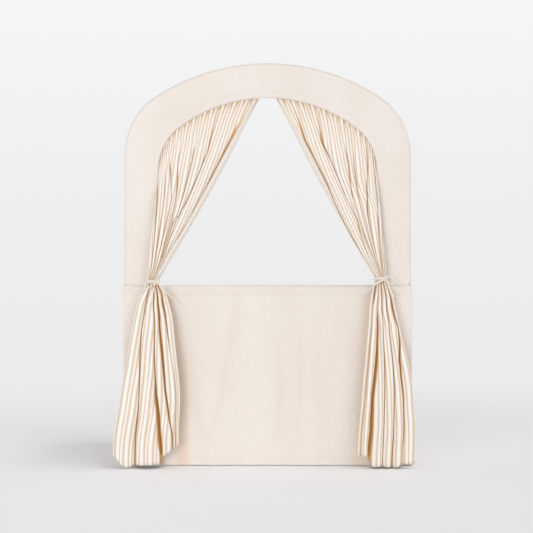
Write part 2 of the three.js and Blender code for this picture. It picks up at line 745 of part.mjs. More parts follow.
const leftCurtain = () => curtain({
  tieAcross: leftTieAcross, tieHeight: leftTieHeight, tailOuter: leftTailOuter, tailInner: leftTailInner,
  hem: hemOf(leftHemLift, 1),
});
const rightCurtain = () => mirrored(curtain({
  tieAcross: rightTieAcross, tieHeight: rightTieHeight, tailOuter: rightTailOuter, tailInner: rightTailInner,
  hem: hemOf(rightHemLift, 1 - outerHemShare),
}));

// A string tie: a band round the waist, sewn to the cover by a tab, with a knot, two loops and two ends.
// Its own frame has the waist's middle at the origin.
function tieBand(tieAcross) {
  const halfWidth = waistHalfWidth + 2 * fit;
  const halfDepth = waistHalfDepth + 2 * fit;
  const ellipse = (grow) => circle(1, tieSides)
    .map((point) => new THREE.Vector2(point.x * (halfWidth + grow), point.y * (halfDepth + grow)));
  const band = new THREE.ExtrudeGeometry(outline(ellipse(tieThickness), ellipse(0)),
    { depth: tieHeightAcross, bevelEnabled: false }).translate(0, 0, -tieHeightAcross / 2);
  const back = waistForward - coverFace(tieAcross + tieHeightAcross) - fit;
  const tabDepth = back - halfDepth - tieThickness / 2;
  const tab = new THREE.BoxGeometry(tieHeightAcross, tabDepth, tieThickness)
    .translate(0, back - tabDepth / 2, tieHeightAcross / 2 - tieThickness / 2);
  const front = -halfDepth - tieThickness;
  const knot = new THREE.SphereGeometry(tieKnotRadius, knotSides, knotRows)
    .scale(1, knotDepthShare, knotHeightShare)
    .translate(0, front + tieThickness / 2 - knotDepthShare * tieKnotRadius, 0);
  const string = (shares, reach, rise) => {
    const curve = new THREE.CatmullRomCurve3(shares.map(([across, forward, up]) =>
      at(reach * across, front - tieKnotRadius * forward, rise * up)));
    return new THREE.ExtrudeGeometry(outline(circle(tieStringRadius, stringSides)),
      { steps: stringSteps, extrudePath: curve, bevelEnabled: false });
  };
  const loops = [-1, 1].map((side) => string(loopRouteShares, side * tieLoopReach, tieLoopReach));
  const ends = [
    string(outerEndRouteShares, tieEndReach, tieEndDrop),
    string(innerEndRouteShares, tieEndReach, tieEndDrop),
  ];
  return shaped([band, tab, knot, ...loops, ...ends].map(outward));
}

// The assembly.
const theater = new THREE.Group();
theater.position.y = -frameForward;

function put(parent, name, geometry, material, place = at(0, 0, 0)) {
  const mesh = new THREE.Mesh(geometry, material);
  mesh.name = name;
  mesh.position.copy(place);
  parent.add(mesh);
}

// The same piece on the left and, mirrored, on the right of one parent.
function putPair(parent, name, geometry, material, place) {
  put(parent, `left_${name}`, geometry, material(), at(-place.x, place.y, place.z));
  put(parent, `right_${name}`, mirrored(geometry), material(), place);
}

function addFrontFrame() {
  putPair(theater, 'lower_post', lowerPost(), paint, at(postAcross, 0, 0));
  putPair(theater, 'post_spigot', postSpigot(), steel, at(postAcross, 0, postJointHeight));
  putPair(theater, 'shoulder_tube', shoulderTube(), paint, at(0, 0, 0));
  putPair(theater, 'crown_spigot', crownSpigot(), steel, at(0, 0, 0));
  put(theater, 'crown_tube', crownTube(), paint());
  putPair(theater, 'stage_tee', frameTee(), nylon, at(postAcross, 0, railHeight));
  put(theater, 'stage_rail', stageRail(), paint(), at(0, 0, railHeight));
  putPair(theater, 'base_tee', frameTee(), nylon, at(postAcross, 0, frameBaseRailHeight));
  put(theater, 'base_rail', frameBaseRail(), paint(), at(0, 0, frameBaseRailHeight));
  putPair(theater, 'front_foot', foot(frameTubeRadius), rubber, at(postAcross, 0, 0));
  putPair(theater, 'lower_hinge_clip', hingeClip(), nylon, at(postAcross, 0, lowerClipHeight));
  putPair(theater, 'upper_hinge_clip', hingeClip(), nylon, at(postAcross, 0, upperClipHeight));
  putPair(theater, 'opening_rod', openingRod(), steel, at(0, 0, 0));
  put(theater, 'rod_ferrule', rodFerrule(), steel());
}

function addCloth() {
  put(theater, 'arch_cover', archCover(), canvas());
  put(theater, 'front_skirt', frontSkirt(), canvas());
  put(theater, 'left_curtain', leftCurtain(), stripe());
  put(theater, 'right_curtain', rightCurtain(), stripe());
  put(theater, 'left_tie', tieBand(leftTieAcross), ivory(), at(-leftTieAcross, -waistForward, leftTieHeight));
  put(theater, 'right_tie', mirrored(tieBand(rightTieAcross)), ivory(),
    at(rightTieAcross, -waistForward, rightTieHeight));
}

// Each wing is a group on its hinge axis. Its rear pieces are the front ones turned about the wing's middle.
function addWing(side, sideName) {
  const wing = new THREE.Group();
  wing.position.set(side * postAcross, wingSetBack, 0);
  theater.add(wing);
  const own = (geometry) => (side < 0 ? geometry : mirrored(geometry));
  const add = (name, geometry, material, place) =>
    put(wing, `${sideName}_wing_${name}`, own(geometry), material(), place);
  const turnedRound = (geometry) => geometry.clone().rotateZ(Math.PI);
  const pointingBack = wingTee().rotateZ(Math.PI / 2);
  const rear = at(0, wingLength, 0);
  add('front_upright', wingUpright(), paint);
  add('rear_upright', wingUpright(), paint, rear);
  add('top_rail', wingTopRail(), paint, at(0, 0, wingRailHeight));
  add('base_rail', wingBaseRail(), paint, at(0, 0, wingBaseRailHeight));
  add('front_elbow', wingElbow(), nylon, at(0, 0, wingRailHeight));
  add('rear_elbow', turnedRound(wingElbow()), nylon, at(0, wingLength, wingRailHeight));
  add('front_tee', pointingBack, nylon, at(0, 0, wingBaseRailHeight));
  add('rear_tee', turnedRound(pointingBack), nylon, at(0, wingLength, wingBaseRailHeight));
  add('front_foot', foot(wingTubeRadius), rubber);
  add('rear_foot', foot(wingTubeRadius), rubber, rear);
  add('skirt', wingSkirt(), canvas);
}

addFrontFrame();
addCloth();
addWing(-1, 'left');
addWing(1, 'right');

export default theater;
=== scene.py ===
# %% [markdown]
# # A puppet theater stand, dressed for a studio picture
# The measured model comes in first. It holds every tube, fitting and cloth at its real size and place, and
# it stays where it is. This lesson builds the looks on it: smooth tubes and moulded fittings for the frame,
# fine cloth for the cover, the skirts and the curtains, and cotton strings for the ties. Everything is in
# metres, with the audience on the -Y side.

# %% Load the measured model
import math
import bpy
import numpy as np
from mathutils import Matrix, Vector


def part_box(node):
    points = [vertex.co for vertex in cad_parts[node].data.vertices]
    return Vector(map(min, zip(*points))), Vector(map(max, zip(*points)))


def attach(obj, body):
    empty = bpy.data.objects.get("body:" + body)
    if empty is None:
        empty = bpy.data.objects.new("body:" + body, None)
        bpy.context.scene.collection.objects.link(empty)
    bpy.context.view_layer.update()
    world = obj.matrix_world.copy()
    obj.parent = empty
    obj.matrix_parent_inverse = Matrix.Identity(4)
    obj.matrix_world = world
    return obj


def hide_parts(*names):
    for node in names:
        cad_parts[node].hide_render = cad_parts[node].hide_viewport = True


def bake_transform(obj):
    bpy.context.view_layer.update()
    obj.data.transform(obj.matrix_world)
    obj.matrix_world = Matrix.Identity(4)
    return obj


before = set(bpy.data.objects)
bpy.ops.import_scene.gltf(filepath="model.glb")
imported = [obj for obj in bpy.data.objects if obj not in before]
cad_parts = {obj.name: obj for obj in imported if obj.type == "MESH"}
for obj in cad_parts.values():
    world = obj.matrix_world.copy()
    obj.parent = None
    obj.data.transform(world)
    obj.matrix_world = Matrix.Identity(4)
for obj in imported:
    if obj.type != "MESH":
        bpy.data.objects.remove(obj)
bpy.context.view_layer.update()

# %% [markdown]
# ## Where things are
# A maker reads the main sizes off the model instead of typing them again: the posts' place, the ledge's
# height and the hinge's place. Sizes that can't be read off a box, such as a tube's wall, a moulding's wall
# and how freely a moulding fits on or in its tube, are written once here.

# %% Read the main sizes off the model
def middle(node):
    low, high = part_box(node)
    return (low + high) / 2


POST_ACROSS = middle("right_lower_post").x
POST_PLANE = middle("right_lower_post").y
WING_FRONT = middle("right_wing_front_upright").y
WING_REAR = middle("right_wing_rear_upright").y
WING_RAIL_HEIGHT = middle("right_wing_top_rail").z
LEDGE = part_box("front_skirt")[1].z
STAGE_RAIL_HEIGHT = middle("stage_rail").z
SKIRT_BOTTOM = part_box("front_skirt")[0].z
POST_RADIUS, POST_WALL = 0.0125, 0.0012
WING_RADIUS, WING_WALL = 0.011, 0.001
MOULDED_WALL, SLIP_FIT, PLUG_FIT = 0.0028, 0.0002, 0.0004
print("posts", round(POST_ACROSS, 4), round(POST_PLANE, 4))
print("wings", round(WING_FRONT, 4), round(WING_REAR, 4))
print("ledge", round(LEDGE, 4), "rails", round(STAGE_RAIL_HEIGHT, 4), round(WING_RAIL_HEIGHT, 4))

# %% [markdown]
# ## Writing shader maths as sums
# A material is a net of nodes. Wiring it by hand in code is long, so a small class wraps a node's socket
# and turns + - * / into Math nodes. A second class holds a net, and one method of it adds any other node. A
# material is a net with a shader in it, which is the third class.

# %% A socket that can be added and multiplied
class Wire:
    def __init__(self, net, socket):
        self.net = net
        self.socket = socket

    def maths(self, operation, *values):
        inputs = dict(enumerate(values))
        return self.net.node("ShaderNodeMath", {"operation": operation}, inputs)

    def __add__(self, other):
        return self.maths("ADD", self, other)

    def __radd__(self, other):
        return self.maths("ADD", other, self)

    def __sub__(self, other):
        return self.maths("SUBTRACT", self, other)

    def __rsub__(self, other):
        return self.maths("SUBTRACT", other, self)

    def __mul__(self, other):
        return self.maths("MULTIPLY", self, other)

    def __rmul__(self, other):
        return self.maths("MULTIPLY", other, self)

    def __truediv__(self, other):
        return self.maths("DIVIDE", self, other)

    def __rtruediv__(self, other):
        return self.maths("DIVIDE", other, self)

    def sine(self):
        return self.maths("SINE", self)

    def part(self):
        return self.maths("FRACT", self)

    def size(self):
        return self.maths("ABSOLUTE", self)


# %% A net of nodes, and a material's net
class Net:
    def __init__(self, tree):
        self.tree = tree

    def feed(self, socket, value):
        if isinstance(value, Wire):
            self.tree.links.new(value.socket, socket)
        else:
            socket.default_value = value

    def node(self, kind, settings=None, inputs=None, out=0):
        made = self.tree.nodes.new(kind)
        for name, value in (settings or {}).items():
            if name == "stops":
                self.stops(made.color_ramp, value)
            else:
                setattr(made, name, value)
        for name, value in (inputs or {}).items():
            self.feed(made.inputs[name], value)
        return Wire(self, made.outputs[out])

    def stops(self, ramp, stops):
        while len(ramp.elements) < len(stops):
            ramp.elements.new(1.0)
        for element, (place, colour) in zip(ramp.elements, stops):
            element.position = place
            element.color = colour


class Finish(Net):
    def __init__(self, name, roughness, **plain):
        self.material = bpy.data.materials.new(name)
        self.material.use_nodes = True
        super().__init__(self.material.node_tree)
        self.shader = next(n for n in self.tree.nodes if n.type == "BSDF_PRINCIPLED")
        self.set("Roughness", roughness)
        for socket, value in plain.items():
            self.set(socket.replace("_", " "), value)

    def set(self, socket, value):
        self.feed(self.shader.inputs[socket], value)


# %% [markdown]
# Most patterns need the same few nodes: the place on the object, a cloudy noise, a soft step between two
# values, a blend of two colours and a bump. Each gets a short function. Colours are given as a painter
# reads them off a picture, from 0 to 255, and turned into the linear values that a shader wants.

# %% Short names for the nodes that most finishes use
def colour(red, green, blue):
    def linear(value):
        value /= 255
        return value / 12.92 if value <= 0.04045 else ((value + 0.055) / 1.055) ** 2.4
    return (linear(red), linear(green), linear(blue), 1.0)


def on_object(finish, scale=(1, 1, 1)):
    place = finish.node("ShaderNodeTexCoord", out=3)
    return finish.node("ShaderNodeMapping", None, {"Vector": place, "Scale": scale})


def on_cloth(finish):
    place = finish.node("ShaderNodeUVMap", {"uv_map": "Cloth"})
    return [finish.node("ShaderNodeSeparateXYZ", None, {0: place}, out) for out in (0, 1)]


def cloudy(finish, place, scale, detail=2.0):
    return finish.node("ShaderNodeTexNoise", None, {"Vector": place, "Scale": scale, "Detail": detail})


def step_between(finish, value, low, high):
    settings = {"interpolation_type": "SMOOTHSTEP"}
    return finish.node("ShaderNodeMapRange", settings, {"Value": value, "From Min": low, "From Max": high})


def blend_colours(finish, share, first, second):
    return finish.node("ShaderNodeMix", {"data_type": "RGBA"}, {0: share, 6: first, 7: second}, out=2)


def bumped(finish, height, distance, strength=1.0):
    inputs = {"Height": height, "Distance": distance, "Strength": strength}
    finish.set("Normal", finish.node("ShaderNodeBump", None, inputs))


def painted_value(finish, name):
    return finish.node("ShaderNodeAttribute", {"attribute_name": name}, out=2)


# %% [markdown]
# ## The canvas
# The cover and the skirts are natural cotton canvas: a plain weave of threads about a millimetre apart,
# some a little thicker than others, and a colour that isn't quite even. The weave follows the cloth's own
# map, in metres, so it turns with the cloth round a tube. Two values painted on the mesh help. One is a
# painted shade, a greyer line where stitching pulls the cloth in, on the round top of the ledge and along
# the arch's outer edge. The other, "shade", is a painted warm shade for the tone that cloth has where light
# reaches it only through or off other cloth.

# %% A plain weave from the cloth's own map
CANVAS_WEAVE = 0.0011
THICK_THREADS = (0.7, 1.4)


def weave(finish, pitch):
    across, along = on_cloth(finish)
    warp = (across * (2 * math.pi / pitch)).sine()
    weft = (along * (2 * math.pi / pitch)).sine()
    return warp * weft


def slubs(finish):
    across, along = on_cloth(finish)
    thick_threads = finish.node("ShaderNodeCombineXYZ", None, {0: across * 30.0, 1: along * 700.0})
    long_threads = finish.node("ShaderNodeCombineXYZ", None, {0: across * 700.0, 1: along * 30.0})
    return cloudy(finish, thick_threads, 1.0, 0.0) + cloudy(finish, long_threads, 1.0, 0.0)


# %% The canvas finish
def canvas_finish():
    finish = Finish("canvas", 0.88, Sheen_Weight=0.12, Sheen_Roughness=0.6, Specular_IOR_Level=0.2)
    threads = slubs(finish)
    tone = step_between(finish, cloudy(finish, on_object(finish, (1.0, 1.0, 0.35)), 6.0), 0.3, 0.7)
    base = blend_colours(finish, tone, colour(243, 235, 229), colour(239, 230, 221))
    thick = step_between(finish, threads, *THICK_THREADS)
    base = blend_colours(finish, thick * 0.35, base, colour(229, 216, 203))
    # Painted shade: a warm tone where light reaches the cloth only through or off other cloth
    painted_shade = painted_value(finish, "shade")
    base = blend_colours(finish, painted_shade, base, colour(224, 194, 162))
    # Painted shade: a greyer line along stitched seams, the ledge's round top and the arch's outer edge
    seam = painted_value(finish, "seam")
    base = blend_colours(finish, seam, base, colour(188, 172, 158))
    finish.set("Base Color", base)
    bumped(finish, weave(finish, CANVAS_WEAVE) * 0.25 + threads, 0.00012, 0.3)
    return finish.material


CANVAS = canvas_finish()
print("canvas nodes", len(CANVAS.node_tree.nodes))

# %% [markdown]
# ## The ticking
# The curtains are ticking, an ivory cotton with woven tan stripes 17 mm apart. Each stripe is a band
# between two thin lines. The stripe is worked out from the cloth's own map, across the width of the flat
# panel, so it runs along each fold and disappears where the fold turns away. "valley" is painted by the
# folding code: deep in a fold, light has bounced off so much cloth that the cloth looks golden brown, so
# the valleys get a painted golden shade and, deepest, a faint painted glow. "hem" marks the doubled edge,
# where the stripes are paler and a painted shade greys the cloth as the edge turns away.

# %% Stripes across the flat cloth
STRIPE_PITCH, TICKING_WEAVE = 0.017, 0.0009
BAND_EDGE = (0.0015, 0.0022)
LINE_PLACE, LINE_EDGE = 0.0033, (0.0003, 0.0008)


def stripes(finish):
    across = on_cloth(finish)[0]
    wander = cloudy(finish, on_object(finish), 9.0) * 0.0012
    from_middle = (((across + wander) / STRIPE_PITCH).part() - 0.5).size() * STRIPE_PITCH
    band = 1.0 - step_between(finish, from_middle, *BAND_EDGE)
    line = 1.0 - step_between(finish, (from_middle - LINE_PLACE).size(), *LINE_EDGE)
    return band * 0.85 + line * 0.8


# %% The ticking finish
def ticking_finish():
    finish = Finish("ticking", 0.85, Sheen_Weight=0.1, Sheen_Roughness=0.6, Specular_IOR_Level=0.2,
                    Emission_Strength=1.0)
    threads = slubs(finish)
    thick = step_between(finish, threads, *THICK_THREADS)
    ground = blend_colours(finish, thick * 0.4, colour(252, 248, 242), colour(243, 236, 227))
    hem = painted_value(finish, "hem")
    tan = blend_colours(finish, hem, colour(214, 182, 146), colour(230, 214, 198))
    base = blend_colours(finish, stripes(finish), ground, tan)
    # Painted shade: the doubled free edge a little greyer, as it turns away from the light
    base = blend_colours(finish, hem * 0.45, base, colour(224, 211, 200))
    # Painted shade: deep in a fold the cloth turns golden brown
    valley = painted_value(finish, "valley")
    base = blend_colours(finish, step_between(finish, valley, 0.05, 0.8) * 0.9, base, colour(206, 164, 104))
    finish.set("Base Color", base)
    # A painted glow in the deepest valleys, for light that comes through the thin cotton
    through = step_between(finish, valley, 0.30, 0.95)
    finish.set("Emission Color", blend_colours(finish, through, colour(0, 0, 0), colour(88, 68, 28)))
    bumped(finish, weave(finish, TICKING_WEAVE) * 0.25 + threads, 0.00018, 0.3)
    return finish.material


TICKING = ticking_finish()
print("ticking nodes", len(TICKING.node_tree.nodes))

# %% [markdown]
# ## String and thread
# The ties are laid cotton string: its strands wind round it, which the cloth map's two directions give as a
# slanting wave. The sewing thread is the same cotton, a little darker than the canvas.

# %% The string and thread finishes
def string_finish():
    finish = Finish("cotton_string", 0.85, Sheen_Weight=0.15, Specular_IOR_Level=0.2)
    around, along = on_cloth(finish)
    strands = ((around * 3.0 + along * 220.0) * (2 * math.pi)).sine()
    # Painted shade: the grooves between the strands are darker, and they are bumped too
    groove = step_between(finish, strands, -1.0, -0.3)
    finish.set("Base Color", blend_colours(finish, groove, colour(222, 206, 184), colour(252, 246, 238)))
    bumped(finish, groove, 0.0004, 0.8)
    return finish.material


def thread_finish():
    finish = Finish("sewing_thread", 0.7, Specular_IOR_Level=0.25)
    place = on_object(finish)
    tone = cloudy(finish, place, 60.0)
    finish.set("Base Color", blend_colours(finish, tone, colour(226, 212, 198), colour(240, 230, 218)))
    bumped(finish, cloudy(finish, place, 900.0), 0.0001, 0.5)
    return finish.material


STRING = string_finish()
THREAD = thread_finish()

# %% [markdown]
# ## Paint, zinc, nylon and rubber
# The frame's tubes are powder coated cream, which has a fine orange-peel skin and small rubbed places. The
# couplers and the edge rod are zinc-plated steel with faint drawing marks. The fittings are moulded nylon
# with a fine spark-eroded grain, and the feet are grey rubber, paler where they are scuffed near the floor.

# %% The paint and the zinc
def powder_coat_finish():
    finish = Finish("powder_coat", 0.42, Specular_IOR_Level=0.45)
    place = on_object(finish)
    worn = step_between(finish, cloudy(finish, place, 38.0, 4.0), 0.66, 0.74)
    base = blend_colours(finish, cloudy(finish, place, 6.0), colour(236, 232, 222), colour(241, 237, 228))
    finish.set("Base Color", blend_colours(finish, worn * 0.5, base, colour(214, 208, 196)))
    finish.set("Roughness", worn * 0.2 + 0.38)
    bumped(finish, cloudy(finish, place, 700.0), 0.0001, 0.5)
    return finish.material


def zinc_finish():
    finish = Finish("zinc_steel", 0.35, Metallic=1.0)
    drawn = cloudy(finish, on_object(finish, (900, 900, 12)), 1.0, 3.0)
    finish.set("Base Color", blend_colours(finish, drawn, colour(176, 177, 178), colour(206, 206, 204)))
    finish.set("Roughness", drawn * 0.2 + 0.25)
    bumped(finish, drawn, 0.00005, 0.4)
    return finish.material


# %% The nylon and the rubber
def nylon_finish():
    finish = Finish("moulded_nylon", 0.5, Specular_IOR_Level=0.4)
    place = on_object(finish)
    base = blend_colours(finish, cloudy(finish, place, 20.0), colour(226, 221, 210), colour(232, 228, 218))
    finish.set("Base Color", base)
    finish.set("Roughness", cloudy(finish, place, 45.0) * 0.12 + 0.46)
    bumped(finish, cloudy(finish, place, 1800.0, 1.0), 0.00008, 0.5)
    return finish.material


def rubber_finish():
    finish = Finish("foot_rubber", 0.8, Specular_IOR_Level=0.25)
    place = on_object(finish)
    height = finish.node("ShaderNodeSeparateXYZ", None, {0: place}, 2)
    scuffed = (1.0 - step_between(finish, height, 0.0, 0.012)) * cloudy(finish, place, 160.0, 4.0)
    finish.set("Base Color", blend_colours(finish, scuffed, colour(138, 135, 130), colour(176, 172, 165)))
    bumped(finish, cloudy(finish, place, 600.0), 0.0001, 0.6)
    return finish.material


PAINT = powder_coat_finish()
ZINC = zinc_finish()
NYLON = nylon_finish()
RUBBER = rubber_finish()
print("finishes", [m.name for m in bpy.data.materials if m.use_nodes][-8:])

# %% [markdown]
# ## Working by hand
# The next pieces are modelled as in the window: a primitive is added, edited and finished with modifiers.
# An operator works on all that is selected, so everything is let go first. A finished piece is settled: its
# place goes into its mesh and its object returns to the origin, so that it rides on a body as the model's
# nodes do.

# %% Helpers for modelling by hand
TOUCHING = 0.00002


def let_go():
    if bpy.context.object and bpy.context.object.mode != "OBJECT":
        bpy.ops.object.mode_set(mode="OBJECT")
    bpy.ops.object.select_all(action="DESELECT")


def hold(piece):
    let_go()
    piece.select_set(True)
    bpy.context.view_layer.objects.active = piece


def with_modifier(piece, kind, **settings):
    hold(piece)
    modifier = piece.modifiers.new(kind.title(), kind)
    for name, value in settings.items():
        setattr(modifier, name, value)
    bpy.ops.object.modifier_apply(modifier=modifier.name)


def with_eased_edges(piece, width, sharper_than):
    with_modifier(piece, "BEVEL", width=width, segments=2, limit_method="ANGLE",
                  angle_limit=math.radians(sharper_than))


# %% Turn faces out, settle and join
def facing_out(piece):
    hold(piece)
    bpy.ops.object.mode_set(mode="EDIT")
    bpy.ops.mesh.select_all(action="SELECT")
    bpy.ops.mesh.remove_doubles(threshold=TOUCHING)
    bpy.ops.mesh.normals_make_consistent(inside=False)
    bpy.ops.object.mode_set(mode="OBJECT")


def settled(piece, name, material, corner=30):
    hold(piece)
    bpy.ops.object.transform_apply(location=True, rotation=True, scale=True)
    bpy.ops.object.shade_smooth_by_angle(angle=math.radians(corner))
    piece.name = piece.data.name = name
    piece.data.materials.clear()
    piece.data.materials.append(material)
    return piece


def joined(pieces):
    hold(pieces[0])
    for piece in pieces[1:]:
        piece.select_set(True)
    bpy.ops.object.join()
    return pieces[0]


# %% [markdown]
# ## Straight tubes
# Posts, rails and uprights are straight tube. A cylinder without its ends is the tube's outside. Solidify
# gives it the wall, and a small bevel breaks the sharp edge that a saw leaves.

# %% A straight tube between two points
ROUND_SIDES = 40


def straight_tube(start, end, radius, wall):
    start, end = Vector(start), Vector(end)
    along = end - start
    let_go()
    bpy.ops.mesh.primitive_cylinder_add(
        vertices=ROUND_SIDES, radius=radius, depth=along.length, end_fill_type="NOTHING",
        location=(start + end) / 2, rotation=along.to_track_quat("Z", "Y").to_euler())
    piece = bpy.context.object
    with_modifier(piece, "SOLIDIFY", thickness=wall, offset=-1)
    with_eased_edges(piece, 0.0003, sharper_than=50)
    return piece


def tube_for(node, radius, wall, body):
    low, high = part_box(node)
    centre, reach = (low + high) / 2, high - low
    way = max(range(3), key=lambda i: reach[i])
    start, end = centre.copy(), centre.copy()
    start[way], end[way] = low[way], high[way]
    piece = settled(straight_tube(start, end, radius, wall), node + "_tube", PAINT)
    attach(piece, body)
    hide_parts(node)
    return piece


for node in ("left_lower_post", "right_lower_post", "stage_rail", "base_rail"):
    tube_for(node, POST_RADIUS, POST_WALL, "frame")
for side in ("left", "right"):
    for part in ("front_upright", "rear_upright", "top_rail", "base_rail"):
        made = tube_for(f"{side}_wing_{part}", WING_RADIUS, WING_WALL, f"{side}_wing")
print("tubes made, the last has", len(made.data.polygons), "faces")

# %% [markdown]
# ## Turned shapes
# Feet, hubs and collars are round, so each is a profile spun about its axis. The profile starts as a plane
# merged to one point, and each further point is extruded from the last, as one would click it in. The shape
# is spun standing on the origin and then laid along its real axis.

# %% Spin a profile into a round piece
def turned(profile, centre, axis=(0, 0, 1)):
    let_go()
    bpy.ops.mesh.primitive_plane_add(size=0.001)
    bpy.ops.object.mode_set(mode="EDIT")
    bpy.ops.mesh.merge(type="CENTER")
    bpy.ops.transform.translate(value=(profile[0][0], 0, profile[0][1]))
    for before, after in zip(profile, profile[1:]):
        move = (after[0] - before[0], 0, after[1] - before[1])
        bpy.ops.mesh.extrude_region_move(TRANSFORM_OT_translate={"value": move})
    bpy.ops.mesh.select_all(action="SELECT")
    bpy.ops.mesh.spin(steps=ROUND_SIDES, angle=2 * math.pi, center=(0, 0, 0), axis=(0, 0, 1))
    bpy.ops.object.mode_set(mode="OBJECT")
    piece = bpy.context.object
    facing_out(piece)
    piece.rotation_euler = Vector(axis).to_track_quat("Z", "Y").to_euler()
    piece.location = centre
    hold(piece)
    bpy.ops.object.transform_apply(location=True, rotation=True, scale=True)
    return piece


# %% [markdown]
# ### Feet
# Each foot is a rubber cup on a tube's end, with a rounded sole and two grip rings. One profile serves both
# tube sizes, with the tube's radius as its only change.

# %% Turn the rubber feet
def foot_profile(radius):
    outer, bore, height, sole = radius + MOULDED_WALL, radius + SLIP_FIT, 0.032, 0.006
    grip = 0.0007
    rings = []
    for z in (0.010, 0.017):
        rings += [(outer, z), (outer - grip, z + 0.0006), (outer - grip, z + 0.0024), (outer, z + 0.003)]
    return [(0, 0), (outer - 0.002, 0), (outer - 0.0006, 0.0006), (outer, 0.002), *rings,
            (outer, height - 0.001), (outer - 0.0008, height), (bore + 0.0005, height),
            (bore, height - 0.0006), (bore, sole), (0, sole)]


def foot_for(node, radius, body):
    centre = middle(node)
    piece = turned(foot_profile(radius), (centre.x, centre.y, 0))
    settled(piece, node + "_cup", RUBBER)
    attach(piece, body)
    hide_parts(node)
    return piece


for side in ("left", "right"):
    foot_for(f"{side}_front_foot", POST_RADIUS, "frame")
    foot_for(f"{side}_wing_front_foot", WING_RADIUS, f"{side}_wing")
    made = foot_for(f"{side}_wing_rear_foot", WING_RADIUS, f"{side}_wing")
print("feet made, each with", len(made.data.polygons), "faces")

# %% [markdown]
# ### Tees
# A tee is a hub with a rim at each end, round a post, and a branch with a shoulder that the rail butts
# against. The branch's plug goes on inside the rail. The two are turned separately, and the branch starts
# inside the hub's wall, so the bore stays open.

# %% Turn the tees
def hub_profile(radius, height):
    outer, bore, half, rim = radius + MOULDED_WALL, radius + SLIP_FIT, height / 2, 0.0004
    return [(bore, -half + 0.0004), (bore + 0.0004, -half), (outer - 0.0006, -half),
            (outer, -half + 0.0006), (outer, -half + 0.003), (outer - rim, -half + 0.0038),
            (outer - rim, half - 0.0038), (outer, half - 0.003), (outer, half - 0.0006),
            (outer - 0.0006, half), (bore + 0.0004, half), (bore, half - 0.0004), (bore, -half + 0.0004)]


def branch_profile(radius, wall):
    start, collar, plug = radius + 0.0018, radius + 0.0068, radius - wall - PLUG_FIT
    return [(0, start), (radius, start), (radius, collar - 0.0006), (radius - 0.0006, collar),
            (plug, collar), (plug, collar + 0.040), (plug - 0.0015, collar + 0.042), (0, collar + 0.042)]


def tee_for(node, radius, wall, way, body):
    low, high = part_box(node)
    reach = radius + MOULDED_WALL
    centre = (low + high) / 2
    for i in (0, 1):
        if way[i]:
            centre[i] = (low[i] + reach) if way[i] > 0 else (high[i] - reach)
    hub = turned(hub_profile(radius, high.z - low.z), centre)
    branch = turned(branch_profile(radius, wall), centre, way)
    piece = settled(joined([hub, branch]), node + "_moulding", NYLON)
    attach(piece, body)
    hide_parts(node)
    return piece


for side, inward in (("left", 1), ("right", -1)):
    for node in (f"{side}_stage_tee", f"{side}_base_tee"):
        tee_for(node, POST_RADIUS, POST_WALL, (inward, 0, 0), "frame")
    tee_for(f"{side}_wing_front_tee", WING_RADIUS, WING_WALL, (0, 1, 0), f"{side}_wing")
    made = tee_for(f"{side}_wing_rear_tee", WING_RADIUS, WING_WALL, (0, -1, 0), f"{side}_wing")
print("tees made, each with", len(made.data.polygons), "faces")

# %% [markdown]
# ### Elbows
# At a wing's top corners a solid nylon bend joins the upright and the top rail. A circle is spun a quarter
# turn about the bend's centre, and a turned shoulder and plug go on each end.

# %% Bend the elbows
ELBOW_BEND = 0.028


def quarter_bend(radius, bend):
    let_go()
    bpy.ops.mesh.primitive_circle_add(
        vertices=ROUND_SIDES, radius=radius, location=(0, 0, -bend), fill_type="NOTHING")
    bpy.ops.object.mode_set(mode="EDIT")
    bpy.ops.mesh.select_all(action="SELECT")
    bpy.ops.mesh.spin(steps=14, angle=math.pi / 2, center=(0, bend, -bend), axis=(1, 0, 0))
    bpy.ops.object.mode_set(mode="OBJECT")
    piece = bpy.context.object
    facing_out(piece)
    bpy.ops.object.transform_apply(location=True, rotation=True, scale=True)
    return piece


def elbow_end(radius, wall):
    plug = radius - wall - PLUG_FIT
    rim = radius + 0.0006
    return [(0, -0.002), (radius, -0.002), (rim, -0.0012), (rim, -0.0006), (radius, 0), (plug, 0),
            (plug, 0.030), (plug - 0.0015, 0.032), (0, 0.032)]


# %% Put the elbows together
def elbow_for(node, way, body):
    low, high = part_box(node)
    corner = Vector((middle(node).x, (low.y if way > 0 else high.y) + way * WING_RADIUS, WING_RAIL_HEIGHT))
    bend = quarter_bend(WING_RADIUS, ELBOW_BEND)
    down = turned(elbow_end(WING_RADIUS, WING_WALL), (0, 0, -ELBOW_BEND), (0, 0, -1))
    across = turned(elbow_end(WING_RADIUS, WING_WALL), (0, ELBOW_BEND, 0), (0, 1, 0))
    piece = joined([bend, down, across])
    if way < 0:
        piece.rotation_euler = (0, 0, math.pi)
    piece.location = corner
    settled(piece, node + "_moulding", NYLON)
    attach(piece, body)
    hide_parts(node)
    return piece


for side in ("left", "right"):
    elbow_for(f"{side}_wing_front_elbow", 1, f"{side}_wing")
    made = elbow_for(f"{side}_wing_rear_elbow", -1, f"{side}_wing")
print("elbow reaches", [tuple(round(n, 4) for n in c) for c in (made.bound_box[0], made.bound_box[6])])

# %% [markdown]
# ### Hinge clips
# A figure-8 clip snaps on the post, and the wing's front upright turns in its closed ring. It is one flat
# outline of even height, so cylinders and a block are joined and the bores and the mouth are cut with
# booleans, then every edge is eased as a mould leaves it.

# %% Cut the hinge clips
CLIP_HEIGHT, CLIP_WAIST, CLIP_MOUTH = 0.022, 0.012, 0.020


def block(size, centre):
    bpy.ops.mesh.primitive_cube_add(size=1, location=centre, scale=size)
    return bpy.context.object


def disc(radius, height, centre):
    bpy.ops.mesh.primitive_cylinder_add(vertices=48, radius=radius, depth=height, location=centre)
    return bpy.context.object


def combined(piece, other, way):
    with_modifier(piece, "BOOLEAN", object=other, operation=way, solver="EXACT")
    bpy.data.objects.remove(other)


